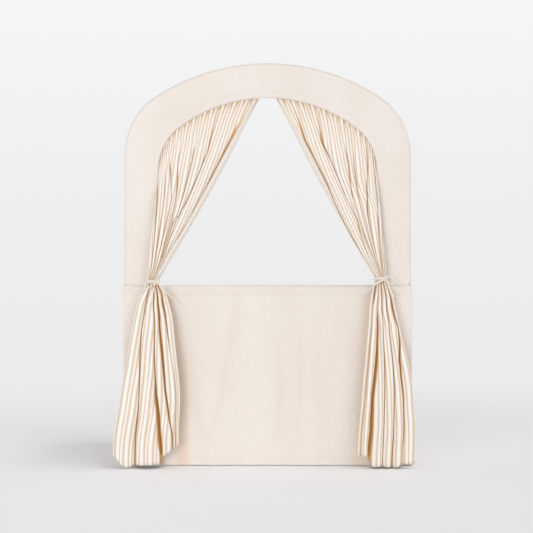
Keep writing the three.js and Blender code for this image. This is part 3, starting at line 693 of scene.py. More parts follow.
def hinge_clip(height, set_back):
    let_go()
    ring, through = POST_RADIUS + MOULDED_WALL, height * 2
    piece = disc(ring, height, (0, 0, 0))
    combined(piece, disc(WING_RADIUS + MOULDED_WALL, height, (0, set_back, 0)), "UNION")
    combined(piece, block((CLIP_WAIST, set_back, height * 0.999), (0, set_back / 2, 0)), "UNION")
    combined(piece, disc(POST_RADIUS + 0.0003, through, (0, 0, 0)), "DIFFERENCE")
    combined(piece, disc(WING_RADIUS + 0.0004, through, (0, set_back, 0)), "DIFFERENCE")
    combined(piece, block((CLIP_MOUTH, ring, through), (0, -ring, 0)), "DIFFERENCE")
    with_eased_edges(piece, 0.0006, sharper_than=40)
    return piece


# %% Set down the four clips
clip_master = hinge_clip(CLIP_HEIGHT, WING_FRONT - POST_PLANE)
for side in ("left", "right"):
    for level in ("lower", "upper"):
        node = f"{side}_{level}_hinge_clip"
        piece = clip_master.copy()
        piece.data = clip_master.data.copy()
        bpy.context.scene.collection.objects.link(piece)
        piece.location = (middle(node).x, POST_PLANE, middle(node).z)
        settled(piece, node + "_moulding", NYLON)
        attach(piece, "frame")
        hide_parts(node)
bpy.data.objects.remove(clip_master)
print("clip faces", len(piece.data.polygons))

# %% [markdown]
# ## The pieces that stay as they are
# The bent tubes, their couplers and the edge rod are inside the cover, where only their ends can be
# glimpsed. The model's own shapes are right for them, and they get the paint and the zinc.

# %% Finish the hidden frame
def refinish(node, material):
    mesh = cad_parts[node].data
    mesh.materials.clear()
    mesh.materials.append(material)


for side in ("left", "right"):
    refinish(f"{side}_shoulder_tube", PAINT)
    for part in ("post_spigot", "crown_spigot", "opening_rod"):
        refinish(f"{side}_{part}", ZINC)
refinish("crown_tube", PAINT)
refinish("rod_ferrule", ZINC)

# %% [markdown]
# ## Cloth in code
# Cloth has one thickness and a map from flat to hung, so each cloth here is a grid of points: columns are
# lines down the flat cloth, rows are lines across it. The grid becomes a mesh, its flat places in metres
# become its map, and values worked out on the way, such as how deep in a fold a point lies, are painted on
# it. Writing the grid in code gives control that a simulation doesn't: these folds follow the ones that the
# real cloth holds. Solidify then adds the cloth's other side after the first one's points. Painted shades
# belong to the outer side alone, so they are wiped off the points that it adds.

# %% Soft steps, bumps and lengths
def smooth(value, low=0.0, high=1.0):
    share = np.clip((np.asarray(value, float) - low) / (high - low), 0.0, 1.0)
    return share * share * (3 - 2 * share)


def bump(value, centre, width):
    return np.exp(-((np.asarray(value, float) - centre) / width) ** 2)


def distance_along(line):
    return np.concatenate([[0.0], np.cumsum(np.linalg.norm(np.diff(line, axis=0), axis=1))])


def line_length(line):
    return float(np.linalg.norm(np.diff(line, axis=0), axis=1).sum())


# %% A grid of points as cloth
def cloth_grid(name, places, flat, painted, round_about=False):
    rows, columns = places.shape[:2]
    mesh = bpy.data.meshes.new(name)
    across = columns if round_about else columns - 1
    row, column = np.meshgrid(np.arange(rows - 1), np.arange(across), indexing="ij")
    following = (column + 1) % columns
    corners = [row * columns + column, row * columns + following,
               (row + 1) * columns + following, (row + 1) * columns + column]
    faces = np.stack(corners, axis=-1).reshape(-1, 4)
    mesh.from_pydata(places.reshape(-1, 3).tolist(), [], faces.tolist())
    flat_corners = [flat[row, column], flat[row, column + 1],
                    flat[row + 1, column + 1], flat[row + 1, column]]
    mapped = mesh.uv_layers.new(name="Cloth")
    mapped.data.foreach_set("uv", np.stack(flat_corners, axis=-2).reshape(-1))
    for label, values in painted.items():
        mesh.attributes.new(label, "FLOAT", "POINT").data.foreach_set("value", values.reshape(-1))
    piece = bpy.data.objects.new(name, mesh)
    bpy.context.scene.collection.objects.link(piece)
    return piece


# %% Give cloth its other side
def unpainted_back(piece, front_points):
    for label in ("shade", "valley"):
        painted = piece.data.attributes.get(label)
        if painted:
            values = np.zeros(len(painted.data), dtype=np.float32)
            painted.data.foreach_get("value", values)
            values[front_points:] = 0
            painted.data.foreach_set("value", values)


def finished_cloth(piece, material, thickness, offset=-1):
    front_points = len(piece.data.vertices)
    with_modifier(piece, "SOLIDIFY", thickness=thickness, offset=offset)
    unpainted_back(piece, front_points)
    hold(piece)
    bpy.ops.object.shade_smooth()
    piece.data.materials.append(material)
    return piece


# %% [markdown]
# Canvas that hangs or is drawn over a tube is never quite flat. Its small wrinkles are sums of a few slow
# waves in slanting directions. The waves are written out, so each run gives the same cloth.

# %% Slow wrinkles
def wrinkles(across, along, waves):
    height = np.zeros(np.broadcast(across, along).shape)
    for length, slant, phase, size in waves:
        turn = 2 * math.pi / length
        drift = 0.6 * np.sin(along * turn * 0.31 + phase * 2.1)
        height += size * np.sin(turn * (across * math.cos(slant) + along * math.sin(slant)) + phase + drift)
    return height


# %% [markdown]
# ## The arch's two lines
# The cover is a sleeve between two arches: the frame's tube outside and a thin rod in the opening's edge.
# Both arches have straight legs, tight shoulders and a flatter crown that meets them without a kink.

# %% An arch of three centres
class Arch:
    def __init__(self, half_width, spring, rise, shoulder_radius):
        self.half_width, self.spring = half_width, spring
        self.rise, self.shoulder_radius = rise, shoulder_radius
        chord = half_width ** 2 + rise ** 2 - 2 * half_width * shoulder_radius
        self.crown_radius = chord / (2 * (rise - shoulder_radius))
        self.crown_turn = math.asin((half_width - shoulder_radius) / (self.crown_radius - shoulder_radius))

    def leg(self, height):
        return (-self.half_width, height), (0.0, 1.0)

    def shoulder(self, share):
        turn = share * (math.pi / 2 - self.crown_turn)
        centre = -(self.half_width - self.shoulder_radius)
        place = (centre - self.shoulder_radius * math.cos(turn),
                 self.spring + self.shoulder_radius * math.sin(turn))
        return place, (math.sin(turn), math.cos(turn))

    def crown(self, share):
        turn = -self.crown_turn * (1 - share)
        place = (self.crown_radius * math.sin(turn),
                 self.spring + self.rise - self.crown_radius * (1 - math.cos(turn)))
        return place, (math.cos(turn), -math.sin(turn))

    def half(self, foot, legs, shoulders, crowns):
        stations = [self.leg(foot + (self.spring - foot) * i / legs) for i in range(legs)]
        stations += [self.shoulder(i / shoulders) for i in range(shoulders)]
        stations += [self.crown(i / crowns) for i in range(crowns + 1)]
        return stations

    def whole(self, *counts):
        left = self.half(*counts)
        right = [((-x, z), (along_x, -along_z)) for (x, z), (along_x, along_z) in left[-2::-1]]
        return left + right


TUBE_SLEEVE, EDGE_SLEEVE = 0.0149, 0.007552
OPENING_HALF, OPENING_SPRING = 0.378, 1.036
TUBE_ARCH = Arch(POST_ACROSS, 1.081, 0.3041, 0.2281)
EDGE_ARCH = Arch(OPENING_HALF + EDGE_SLEEVE, OPENING_SPRING, 0.243 + EDGE_SLEEVE, 0.173 + EDGE_SLEEVE)
print("crown radii", round(TUBE_ARCH.crown_radius, 4), round(EDGE_ARCH.crown_radius, 4))

# %% [markdown]
# ## The arch cover
# The real cover is two arch-shaped pieces of canvas seamed at the outer edge, with a narrow casing sewn
# along the opening. It is drawn over the bent tube, so its section is a wide round, two nearly flat faces
# and a small round. The seams pull the cloth in by a third of a millimetre, and that shallow groove, with a
# faint painted shade along it, is what makes them look sewn. Over the upper arch a painted shade line runs
# along the outer edge, where the tube's round turns from the light. The sleeve's two feet are hollowed,
# because they sit on the round of the ledge.

# %% The cover's section at each station
COVER_FOOT = LEDGE + 0.0003
COVER_COUNTS = (COVER_FOOT, 60, 34, 40)
WIDE, NARROW, FACE = 18, 12, 26
EDGE_SEAM, SEAM_PULL = 0.0135, 0.0003


def cover_ring():
    wide = np.linspace(-math.pi / 2, math.pi / 2, WIDE + 1)
    narrow = np.linspace(-math.pi / 2, math.pi / 2, NARROW + 1)
    face = np.linspace(0, 1, FACE + 1)[1:-1]
    return wide, narrow, face


def round_edge(place, out, radius, turns):
    return [(place[0] + radius * math.cos(a) * out[0], radius * math.sin(a),
             place[1] + radius * math.cos(a) * out[1]) for a in turns]


def flat_face(start, end, shares):
    return [tuple(np.array(start) * (1 - share) + np.array(end) * share) for share in shares]


# %% The cover's whole grid
def cover_grid():
    wide, narrow, face = cover_ring()
    rows, flats, along, before = [], [], 0.0, None
    stations = zip(TUBE_ARCH.whole(*COVER_COUNTS), EDGE_ARCH.whole(*COVER_COUNTS))
    for (outer, out_way), (inner, in_way) in stations:
        ring = round_edge(outer, (-out_way[1], out_way[0]), TUBE_SLEEVE, wide)
        ring += flat_face(ring[-1], (inner[0], EDGE_SLEEVE, inner[1]), face)
        ring += round_edge(inner, (-in_way[1], in_way[0]), -EDGE_SLEEVE, narrow)
        ring += flat_face(ring[-1], ring[0], face)
        ring = np.array(ring)
        centre = (np.array(outer) + np.array(inner)) / 2
        along += 0.0 if before is None else float(np.linalg.norm(centre - before))
        before = centre
        around = distance_along(np.vstack([ring, ring[:1]]))
        rows.append(ring)
        flats.append(np.stack([around, np.full(len(around), along)], axis=-1))
    return np.array(rows), np.array(flats)


# %% Sew the cover
cover_points, cover_flat = cover_grid()
count = cover_points.shape[1]
index = np.arange(count)
on_back = (index > WIDE) & (index < WIDE + FACE)
on_front = index > WIDE + FACE + NARROW
face_share = np.zeros(count)
face_share[on_back] = (index[on_back] - WIDE) / FACE
face_share[on_front] = 1 - (index[on_front] - WIDE - FACE - NARROW) / FACE
face_way = np.where(on_front, -1.0, np.where(on_back, 1.0, 0.0))
around, along = cover_flat[:, :-1, 0], cover_flat[:, :-1, 1]
face_width = np.linalg.norm(cover_points[:, WIDE + 1] - cover_points[:, WIDE + FACE - 1], axis=1)[:, None]
from_edge = (1 - face_share)[None, :] * face_width + (1 - np.abs(face_way))[None, :]
loose = np.sin(math.pi * face_share)[None, :] ** 0.6
COVER_WAVES = [(0.21, 0.3, 0.4, 0.0011), (0.094, 1.1, 2.2, 0.0007), (0.057, 0.8, 4.0, 0.0004),
               (0.133, -0.6, 1.3, 0.0008)]
stand = wrinkles(around, along, COVER_WAVES) * loose
edge_seam = bump(from_edge, EDGE_SEAM, 0.0013)
height = cover_points[:, :, 2]
# A painted shade line along the outermost line of the round edge, fading in above 1.14 m
outermost = np.where(index <= WIDE, np.abs(index - WIDE / 2), 99)[None, :]
outer_edge_shade = bump(outermost, 0, 3.6) * smooth(height, 1.14, 1.30)
stand -= SEAM_PULL * edge_seam
cover_points[:, :, 1] += stand * face_way[None, :]

# %% Hollow its feet and make it cloth
LEDGE_ROUND = 0.0153
for foot in (0, -1):
    from_middle = np.clip(np.abs(cover_points[foot, :, 1]), 0, LEDGE_ROUND - 0.0003)
    cover_points[foot, :, 2] -= LEDGE_ROUND - np.sqrt(LEDGE_ROUND ** 2 - from_middle ** 2)
cover_points[:, :, 1] += POST_PLANE
# The painted shade on the cover: a faint line in the opening seam's groove and the outer edge's line
cover = cloth_grid("arch_cover_cloth", cover_points, cover_flat,
                   {"seam": np.maximum(edge_seam * 0.12, outer_edge_shade),
                    "shade": np.zeros(cover_points.shape[:2])}, round_about=True)
facing_out(cover)
finished_cloth(cover, CANVAS, thickness=0.001)
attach(cover, "frame")
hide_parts("arch_cover")

# %% [markdown]
# ## The front skirt
# The skirt is one panel of canvas that hangs from the stage rail. Its top edge goes over the rail and is
# sewn down behind, which makes the casing, and its sides turn back round the posts as far as the hinges,
# where the wings' canvas starts. The panel is a grid whose rows run from the hem up the face and over the
# rail, and the casing is a second one that goes on down the back to the stitch line.

# %% The plan line that a skirt follows
SKIRT_SIDE, SKIRT_FRONT = 0.5017, -0.2187
SKIRT_RETURN, WING_START = -0.1911, -0.1891
CORNER_RADIUS = 0.006


def quarter(x, y, start, way, count=10):
    turns = [start + way * math.pi / 2 * i / count for i in range(count + 1)]
    return [((x + CORNER_RADIUS * math.cos(a), y + CORNER_RADIUS * math.sin(a)), (math.cos(a), math.sin(a)))
            for a in turns]


def straight(start, end, out, count):
    return [((start[0] + (end[0] - start[0]) * i / count, start[1] + (end[1] - start[1]) * i / count), out)
            for i in range(count + 1)]


def front_plan():
    turned_at, behind = SKIRT_SIDE - CORNER_RADIUS, SKIRT_FRONT + CORNER_RADIUS
    left = straight((-SKIRT_SIDE, SKIRT_RETURN), (-SKIRT_SIDE, behind), (-1, 0), 6)
    across = straight((-turned_at, SKIRT_FRONT), (turned_at, SKIRT_FRONT), (0, -1), 250)
    right = straight((SKIRT_SIDE, behind), (SKIRT_SIDE, SKIRT_RETURN), (1, 0), 6)
    return [*left[:-1], *quarter(-turned_at, behind, math.pi, 1), *across[1:-1],
            *quarter(turned_at, behind, -math.pi / 2, 1), *right[1:]]


print("front plan points", len(front_plan()))

# %% [markdown]
# Below the stitch line the panel hangs free in slow, shallow folds that grow towards the hem, and it is
# held flat at the corners. Above, each column turns in over the rail. Past the casing's ends only a narrow
# edge turns in, so the posts and their sleeves can pass. On the folds lie a few creases, which the canvas
# keeps from being packed: each is a low ridge along its own line, one to four millimetres high, that fades
# out at both ends.

# %% A skirt's grid: hem to ledge
CASING, SKIRT_HEM, LEDGE_EDGE = 0.033, 0.025, 0.0014
PANEL_ROWS, TURN_ROWS = 120, 14


def rail_side(plan, rail_at, rail_from, rail_to):
    points = np.array([place for place, out in plan])
    outs = np.array([out for place, out in plan])
    way = 1 if abs(rail_at[0]) > 0 else 0
    reach = np.minimum(points[:, way] - rail_from, rail_to - points[:, way])
    facing = np.abs(outs[:, way]) < 0.01
    to_rail = np.abs(points[:, 1 - way] - rail_at[1 - way])
    return points, outs, np.where(facing, smooth(reach, -0.006, 0.0), 0.0), to_rail


def creased(x, z, creases):
    stand, painted_shade = np.zeros(np.broadcast(x, z).shape), np.zeros(np.broadcast(x, z).shape)
    for line, width, rise, shade_amount in creases:
        levels, middles = zip(*line)
        middle = np.interp(z, levels, middles)
        ends = smooth(z, levels[0], levels[0] + 0.09) * (1 - smooth(z, levels[-1] - 0.07, levels[-1]))
        stand += rise * ends * bump(x, middle, width)
        # Painted shade on the side of the crease that is turned from the light
        painted_shade = np.maximum(painted_shade, shade_amount * ends * bump(x, middle - 1.1 * width, 0.8 * width))
    return stand, painted_shade


# %% The panel's rows
def skirt_grid(side, casing_radius, waves, depth, creases):
    points, outs, over, to_rail = side
    along = distance_along(points)
    rail_height = LEDGE - casing_radius
    stitch = LEDGE - CASING
    heights = np.concatenate([np.linspace(SKIRT_BOTTOM, stitch, PANEL_ROWS),
                              np.linspace(stitch, rail_height, 7)[1:]])
    from_end = np.minimum(along, along[-1] - along)
    held = smooth(from_end, 0.012, 0.11)
    rows, flats = [], []
    for z in heights:
        drop = smooth((stitch - z) / 0.52)
        fold = 0.5 + 0.5 * np.clip(wrinkles(along, np.full(len(along), z), waves), -1, 1)
        stand = fold * depth * drop * held + creased(points[:, 0], z, creases)[0]
        rows.append(np.column_stack([points + outs * stand[:, None], np.full(len(points), z)]))
        flats.append(np.column_stack([along, np.full(len(along), z)]))
    for i in range(1, TURN_ROWS + 1):
        turn = math.pi / 2 * i / TURN_ROWS
        corner_turn = np.clip((math.sin(turn) - 0.86) / 0.14, 0, 1) ** 2
        inward = (to_rail * over) * (1 - math.cos(turn)) + LEDGE_EDGE * (1 - over) * corner_turn
        z = rail_height + casing_radius * math.sin(turn)
        rows.append(np.column_stack([points - outs * inward[:, None], np.full(len(points), z)]))
        flats.append(np.column_stack([along, np.full(len(along), rail_height + casing_radius * turn)]))
    return np.array(rows), np.array(flats), heights


# %% The casing behind the rail
def casing_grid(side, flat_row, casing_radius):
    points, outs, over, to_rail = side
    inside = over > 0.999
    points, outs, to_rail, across = points[inside], outs[inside], to_rail[inside], flat_row[inside, 0]
    rail_height, start = LEDGE - casing_radius, flat_row[0, 1]
    stitch_depth, stitch_drop = 0.0012 - to_rail[0], LEDGE - CASING - rail_height
    far = math.hypot(stitch_depth, stitch_drop)
    last_turn = math.atan2(stitch_drop, stitch_depth) + math.acos(casing_radius / far)
    turns = np.linspace(math.pi / 2, last_turn, 22)
    section = [(casing_radius * math.cos(a), casing_radius * math.sin(a)) for a in turns]
    end = section[-1]
    section += [(end[0] + (stitch_depth - end[0]) * i / 5, end[1] + (stitch_drop - end[1]) * i / 5)
                for i in range(1, 6)]
    rows, flats, gone, before = [], [], 0.0, section[0]
    for depth, height in section:
        gone += math.hypot(depth - before[0], height - before[1])
        before = (depth, height)
        rows.append(np.column_stack([points - outs * (to_rail + depth)[:, None],
                                     np.full(len(points), rail_height + height)]))
        flats.append(np.column_stack([across, np.full(len(across), start + gone)]))
    return np.array(rows), np.array(flats)


# %% [markdown]
# A skirt's painted values come from its heights: the casing's stitch line and the hem are seams, and a
# faint painted shade lies along them and on the round top of the ledge, and the band above the casing's
# stitch is a little darker. A warm painted shade lies on the canvas beside each tied curtain's tail, where
# light reaches it off the curtain, and a fainter one on the side of each crease that is turned from the
# light. A wave is its length, its slant, where it starts and its share of the depth. A crease is its line,
# as heights and places across, then its width, rise and the strength of its painted shade. A tail is its
# place across at a height, and how strong a painted shade it lays on the canvas.

# %% Make a skirt
SEAM_WIDTH = 0.0018


def sewn_skirt(name, side, casing_radius, waves, depth, tails=(), creases=()):
    places, flats, heights = skirt_grid(side, casing_radius, waves, depth, creases)
    z = places[:, :, 2]
    # Painted shade: a faint grey line along the hem's and the casing's stitch grooves
    hem_line = bump(z, SKIRT_BOTTOM + SKIRT_HEM, SEAM_WIDTH)
    casing_line = bump(z, LEDGE - CASING, SEAM_WIDTH) * side[2][None, :]
    above_stitch = smooth(z, LEDGE - CASING, LEDGE - CASING + 0.004)
    # Painted shade: a grey line on the round top of the ledge, along the rail
    ledge_top_shade = smooth(z, LEDGE - 0.0028, LEDGE) * side[2][None, :]
    seam = hem_line * 0.08 + casing_line * 0.14 + above_stitch * 0.05 + ledge_top_shade * 0.3
    shade = creased(places[:, :, 0], z, creases)[1]
    for across, amount in tails:
        near = bump(np.maximum(0, np.abs(places[:, :, 0] - across(z)) - 0.006), 0, 0.016)
        shade = np.maximum(shade, amount * near * (1 - smooth(z, 0.58, 0.62)))
    pulled_in = SEAM_PULL * np.maximum(hem_line, casing_line)
    places[:, :, :2] -= side[1][None, :, :] * pulled_in[:, :, None]
    panel = cloth_grid(name, places, flats, {"seam": seam, "shade": shade})
    back, back_flats = casing_grid(side, flats[-1], casing_radius)
    none = np.zeros(back.shape[:2])
    casing = cloth_grid(name + "_casing", back, back_flats, {"seam": none, "shade": none})
    piece = joined([panel, casing])
    hold(piece)
    bpy.ops.object.mode_set(mode="EDIT")
    bpy.ops.mesh.select_all(action="SELECT")
    bpy.ops.mesh.remove_doubles(threshold=TOUCHING)
    bpy.ops.object.mode_set(mode="OBJECT")
    return finished_cloth(piece, CANVAS, thickness=0.0011), places, heights


# %% Hang the front skirt
RAIL_END = 0.4645
front_side = rail_side(front_plan(), (0, POST_PLANE), -RAIL_END, RAIL_END)
FRONT_WAVES = [(0.34, 0.0, 0.6, 0.4), (0.17, 0.05, 2.0, 0.4), (0.101, -0.08, 4.1, 0.24),
               (0.5, 0.7, 1.0, 0.2)]
CREASES = [
    ([(0.10, -0.170), (0.21, -0.146), (0.34, -0.117), (0.48, -0.100), (0.60, -0.068)], 0.022, 0.0042, 0.10),
    ([(0.08, 0.062), (0.17, 0.046), (0.26, 0.066), (0.36, 0.052), (0.45, 0.046)], 0.013, 0.0028, 0.14),
    ([(0.12, 0.128), (0.30, 0.124), (0.50, 0.126)], 0.012, 0.0024, 0.12),
    ([(0.07, -0.205), (0.25, -0.232), (0.45, -0.262)], 0.022, 0.0036, 0.10),
    ([(0.20, 0.190), (0.40, 0.206), (0.58, 0.220)], 0.024, 0.0034, 0.06),
    ([(0.07, 0.150), (0.18, 0.100), (0.26, 0.104)], 0.016, 0.0022, 0.08),
    ([(0.44, -0.010), (0.55, 0.006), (0.60, 0.010)], 0.012, 0.0018, 0.05),
    ([(0.46, 0.098), (0.59, 0.104)], 0.010, 0.0014, 0.05),
]
TAILS = [
    (lambda z: -0.297 - 0.045 * smooth(z, 0.28, 0.60), 0.42),
    (lambda z: 0.322 + 0.045 * z, 0.34),
    (lambda z: -0.475 + 0.03 * smooth(z, 0.4, 0.6), 0.12),
    (lambda z: 0.47 - 0.05 * smooth(z, 0.3, 0.6), 0.2),
]
front_skirt, front_places, front_heights = sewn_skirt(
    "front_skirt_cloth", front_side, casing_radius=0.0151, waves=FRONT_WAVES, depth=0.0074, tails=TAILS,
    creases=CREASES)
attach(front_skirt, "frame")
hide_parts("front_skirt")
print("front skirt faces", len(front_skirt.data.polygons))

# %% [markdown]
# ## The wing skirts
# Each wing has the same skirt on a shorter rail. The left wing's plan line runs from the back to the front,
# so that its faces point out, as the right wing's do.

# %% Make the wing skirts
SKIRT_REAR, WING_RETURN = 0.2582, 0.4705


def wing_plan(way):
    turned_at, behind = SKIRT_SIDE - CORNER_RADIUS, SKIRT_REAR - CORNER_RADIUS
    outside = straight((SKIRT_SIDE, WING_START), (SKIRT_SIDE, behind), (1, 0), 100)
    corner = quarter(turned_at, behind, 0, 1)
    back = straight((turned_at, SKIRT_REAR), (WING_RETURN, SKIRT_REAR), (0, 1), 6)
    plan = [((way * x, y), (way * out_x, out_y)) for (x, y), (out_x, out_y)
            in [*outside[:-1], *corner, *back[1:]]]
    return plan if way > 0 else plan[::-1]


WING_RAIL_FROM, WING_RAIL_TO = -0.1411, 0.2123
WING_WAVES = [(0.24, 0.1, 1.9, 0.5), (0.13, -0.1, 3.3, 0.3), (0.4, 0.6, 0.2, 0.25)]
wing_places = {}
for side, way in (("left", -1), ("right", 1)):
    reach = rail_side(wing_plan(way), (way * POST_ACROSS, 0), WING_RAIL_FROM, WING_RAIL_TO)
    wing, places, heights = sewn_skirt(
        f"{side}_wing_skirt_cloth", reach, casing_radius=0.0136, waves=WING_WAVES, depth=0.0036)
    wing_places[side] = (places, heights, reach[1])
    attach(wing, f"{side}_wing")
    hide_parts(f"{side}_wing_skirt")
print("wing skirt faces", len(wing.data.polygons))

# %% [markdown]
# ## The corner bindings
# At each hinge the canvas bends round the post. A strip of binding tape covers the corner from hem to
# ledge, and it follows the frame on one side and the wing on the other. Its columns are close together in
# the middle two millimetres.

# %% Bind the corners
def binding_face(height):
    return SKIRT_SIDE + 0.0013 + 0.0002 * np.sin(height * 90)


def binding(way):
    on_frame = np.linspace(-0.2045, -0.1912, 8)
    in_the_bend = np.linspace(SKIRT_RETURN, WING_START, 16)
    on_wing = np.linspace(-0.1890, -0.1757, 8)
    lines = np.concatenate([on_frame, in_the_bend, on_wing])
    if way < 0:
        lines = lines[::-1]
    heights = np.linspace(SKIRT_BOTTOM + 0.001, LEDGE - 0.016, 90)
    y, z = np.meshgrid(lines, heights)
    places = np.stack([way * binding_face(z), y, z], axis=-1)
    flats = np.stack([y - y.min(), z], axis=-1)
    edge = np.minimum(np.abs(y - lines.min()), np.abs(y - lines.max()))
    # Painted shade: a grey line where the tape is stitched, 2.5 mm in from each edge
    painted = {"seam": bump(edge, 0.0025, 0.0008) * 0.6, "shade": np.zeros_like(y)}
    return cloth_grid("binding", places, flats, painted)


for side, way in (("left", -1), ("right", 1)):
    tape = finished_cloth(binding(way), CANVAS, thickness=0.0009)
    tape.name = tape.data.name = f"{side}_corner_binding"
    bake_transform(tape)
    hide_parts(f"{side}_wing_skirt")
print("binding faces", len(tape.data.polygons))

# %% [markdown]
# ## Stitches
# The seams are sewn with a cotton thread a little darker than the canvas. One stitch is modelled by hand: a
# ball drawn out to a stitch's length, with its ends bent down into the cloth. It is then set down again and
# again along each seam, and turned to follow it.

# %% Model one stitch
STITCH_LENGTH, STITCH_PITCH = 0.0026, 0.0032


def one_stitch():
    let_go()
    bpy.ops.mesh.primitive_uv_sphere_add(segments=6, ring_count=4, radius=1, rotation=(0, math.pi / 2, 0))
    piece = bpy.context.object
    bpy.ops.object.transform_apply(location=True, rotation=True, scale=True)
    piece.scale = (STITCH_LENGTH / 2, 0.00028, 0.00020)
    bpy.ops.object.transform_apply(location=True, rotation=True, scale=True)
    for corner in piece.data.vertices:
        corner.co.z -= 0.0003 * (2 * corner.co.x / STITCH_LENGTH) ** 2
    return piece


stitch = one_stitch()
STITCH_POINTS = np.array([corner.co for corner in stitch.data.vertices])
STITCH_FACES = [list(face.vertices) for face in stitch.data.polygons]
bpy.data.objects.remove(stitch)
print("a stitch has", len(STITCH_FACES), "faces")

# %% Sew along a line
def stitched(name, line, out, body):
    way = np.gradient(line, axis=0)
    way /= np.linalg.norm(way, axis=1, keepdims=True)
    gone = distance_along(line)
    at = np.arange(STITCH_PITCH / 2, gone[-1], STITCH_PITCH)
    spot, way, out = [np.stack([np.interp(at, gone, values[:, i]) for i in range(3)], axis=-1)[:, None]
                      for values in (line, way, out)]
    lengthwise, sideways, upward = [STITCH_POINTS[:, i:i + 1] for i in range(3)]
    points = spot + lengthwise * way + sideways * np.cross(out, way) + (upward + 0.0001) * out
    faces = [[corner + i * len(STITCH_POINTS) for corner in face]
             for i in range(len(at)) for face in STITCH_FACES]
    mesh = bpy.data.meshes.new(name)
    mesh.from_pydata(points.reshape(-1, 3).tolist(), [], faces)
    piece = bpy.data.objects.new(name, mesh)
    bpy.context.scene.collection.objects.link(piece)
    settled(piece, name, THREAD, corner=60)
    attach(piece, body)
    return len(at)


def level_line(places, heights, outs, level):
    row = int(np.searchsorted(heights, level)) - 1
    part = (level - heights[row]) / (heights[row + 1] - heights[row])
    return places[row] * (1 - part) + places[row + 1] * part, np.column_stack([outs, np.zeros(len(outs))])


def cover_line(front):
    steps = EDGE_SEAM / face_width[:, 0] * FACE
    spot = WIDE + FACE + NARROW + steps if front else WIDE + FACE - steps
    column, part = spot.astype(int), (spot % 1)[:, None]
    row = np.arange(len(spot))
    line = cover_points[row, column] * (1 - part) + cover_points[row, column + 1] * part
    return line, np.tile([0.0, -1.0 if front else 1.0, 0.0], (len(line), 1))


# %% Sew the seams
SEAMS = {"hem": SKIRT_BOTTOM + SKIRT_HEM, "casing": LEDGE - CASING}
sewn = 0
for label, level in SEAMS.items():
    line, out = level_line(front_places, front_heights, front_side[1], level)
    sewn += stitched(f"front_skirt_{label}_stitches", line, out, "frame")
    for side, (places, heights, outs) in wing_places.items():
        line, out = level_line(places, heights, outs, level)
        sewn += stitched(f"{side}_wing_{label}_stitches", line, out, f"{side}_wing")
for label, front in (("front", True), ("rear", False)):
    sewn += stitched(f"arch_cover_{label}_stitches", *cover_line(front), "frame")
for side, way in (("left", -1), ("right", 1)):
    z = np.linspace(SKIRT_BOTTOM + 0.002, LEDGE - 0.017, 120)
    for label, y, body in (("front", -0.2020, "frame"), ("rear", -0.1782, f"{side}_wing")):
        line = np.column_stack([way * binding_face(z), np.full(len(z), y), z])
        out = np.tile([float(way), 0.0, 0.0], (len(z), 1))
        sewn += stitched(f"{side}_binding_stitches_{label}", line, out, body)
print("stitches sewn", sewn)

# %% [markdown]
# ## The curtains
# Each curtain is a flat panel 56 cm wide, gathered along the opening's rod, drawn to a narrow waist by its
# tie and falling free below. The panel's width never changes: where the curtain is narrower, the rest of
# the cloth is inside the folds. So each row across is made as a dressmaker pins pleats. Lobes lie in front,
# nearly flat, and between them the spare cloth goes back into valleys. The row is then softened, because
# cloth can't crease that sharply. The valleys' places down the curtain are the ones that the real folds
# take.

# %% The flat panel, and softening
PANEL, COLUMNS = 0.56, 261
FLAT_ACROSS = np.linspace(0, PANEL, COLUMNS)
LOBE_SPARE, LOBE_STEPS = 1.16, 12


def softened(values, spread):
    step = FLAT_ACROSS[1]
    reach = int(math.ceil(3 * spread / step))
    window = np.exp(-0.5 * (np.arange(-reach, reach + 1) * step / spread) ** 2)
    window /= window.sum()
    before = 2 * values[0] - values[reach:0:-1]
    after = 2 * values[-1] - values[-2:-reach - 2:-1]
    return np.convolve(np.concatenate([before, values, after]), window, mode="valid")


# %% One row of cloth across the folds
def pinned_row(width, valleys, deepest, spread=0.0036):
    centres = np.array([0.0] + [valley[0] for valley in valleys] + [1.0]) * width
    weights = np.array([valley[1] for valley in valleys])
    gaps = np.array([0.0] + [valley[2] for valley in valleys] + [0.0])
    lobes = np.maximum(np.diff(centres) - (gaps[1:] + gaps[:-1]) / 2, 0.002)
    lobe_cloth = lobes * LOBE_SPARE
    spare = max(PANEL - lobe_cloth.sum(), 0.004)
    hidden = spare * weights / weights.sum()
    lobe_cloth *= (PANEL - spare) / lobe_cloth.sum()
    flat, across, back = [0.0], [0.0], [0.0]
    steps = np.linspace(0, 1, LOBE_STEPS + 1)[1:]
    for i, lobe in enumerate(lobes):
        crown = min(0.22 * lobe, 0.012)
        for share in steps:
            flat.append(flat[-1] + lobe_cloth[i] / LOBE_STEPS)
            across.append(across[-1] + lobe / LOBE_STEPS)
            back.append(-crown * math.sin(math.pi * share))
        if i < len(hidden):
            depth = min(deepest, hidden[i] / 2)
            for share in steps:
                flat.append(flat[-1] + hidden[i] / LOBE_STEPS)
                across.append(across[-1] + gaps[i + 1] / LOBE_STEPS)
                back.append(depth * math.sin(math.pi * share) ** 0.8)
    across = np.array(across) * width / across[-1]
    share_across = np.interp(FLAT_ACROSS, flat, across) / width
    depth_back = np.interp(FLAT_ACROSS, flat, back)
    return softened(share_across, spread), softened(depth_back, spread)


row, depth = pinned_row(0.2, [(0.3, 1, 0.002), (0.6, 2, 0.006)], 0.03)
print("a pinned row goes", round(float(depth.min()), 4), "to", round(float(depth.max()), 4))

# %% [markdown]
# The upper part is ruled between two lines: the gathered heading on the opening's edge and the waist at the
# tie. A line down the cloth sags a little, and the drawn side sags most. The real folds' places, read as
# points across and up from the middle of the floor, are turned into shares of these lines by looking up the
# nearest one.

# %% The heading, the waist and the lines between them
HEADING_ARCH = Arch(0.3776, OPENING_SPRING, 0.2426, 0.1726)
HEADING_END = 0.0295


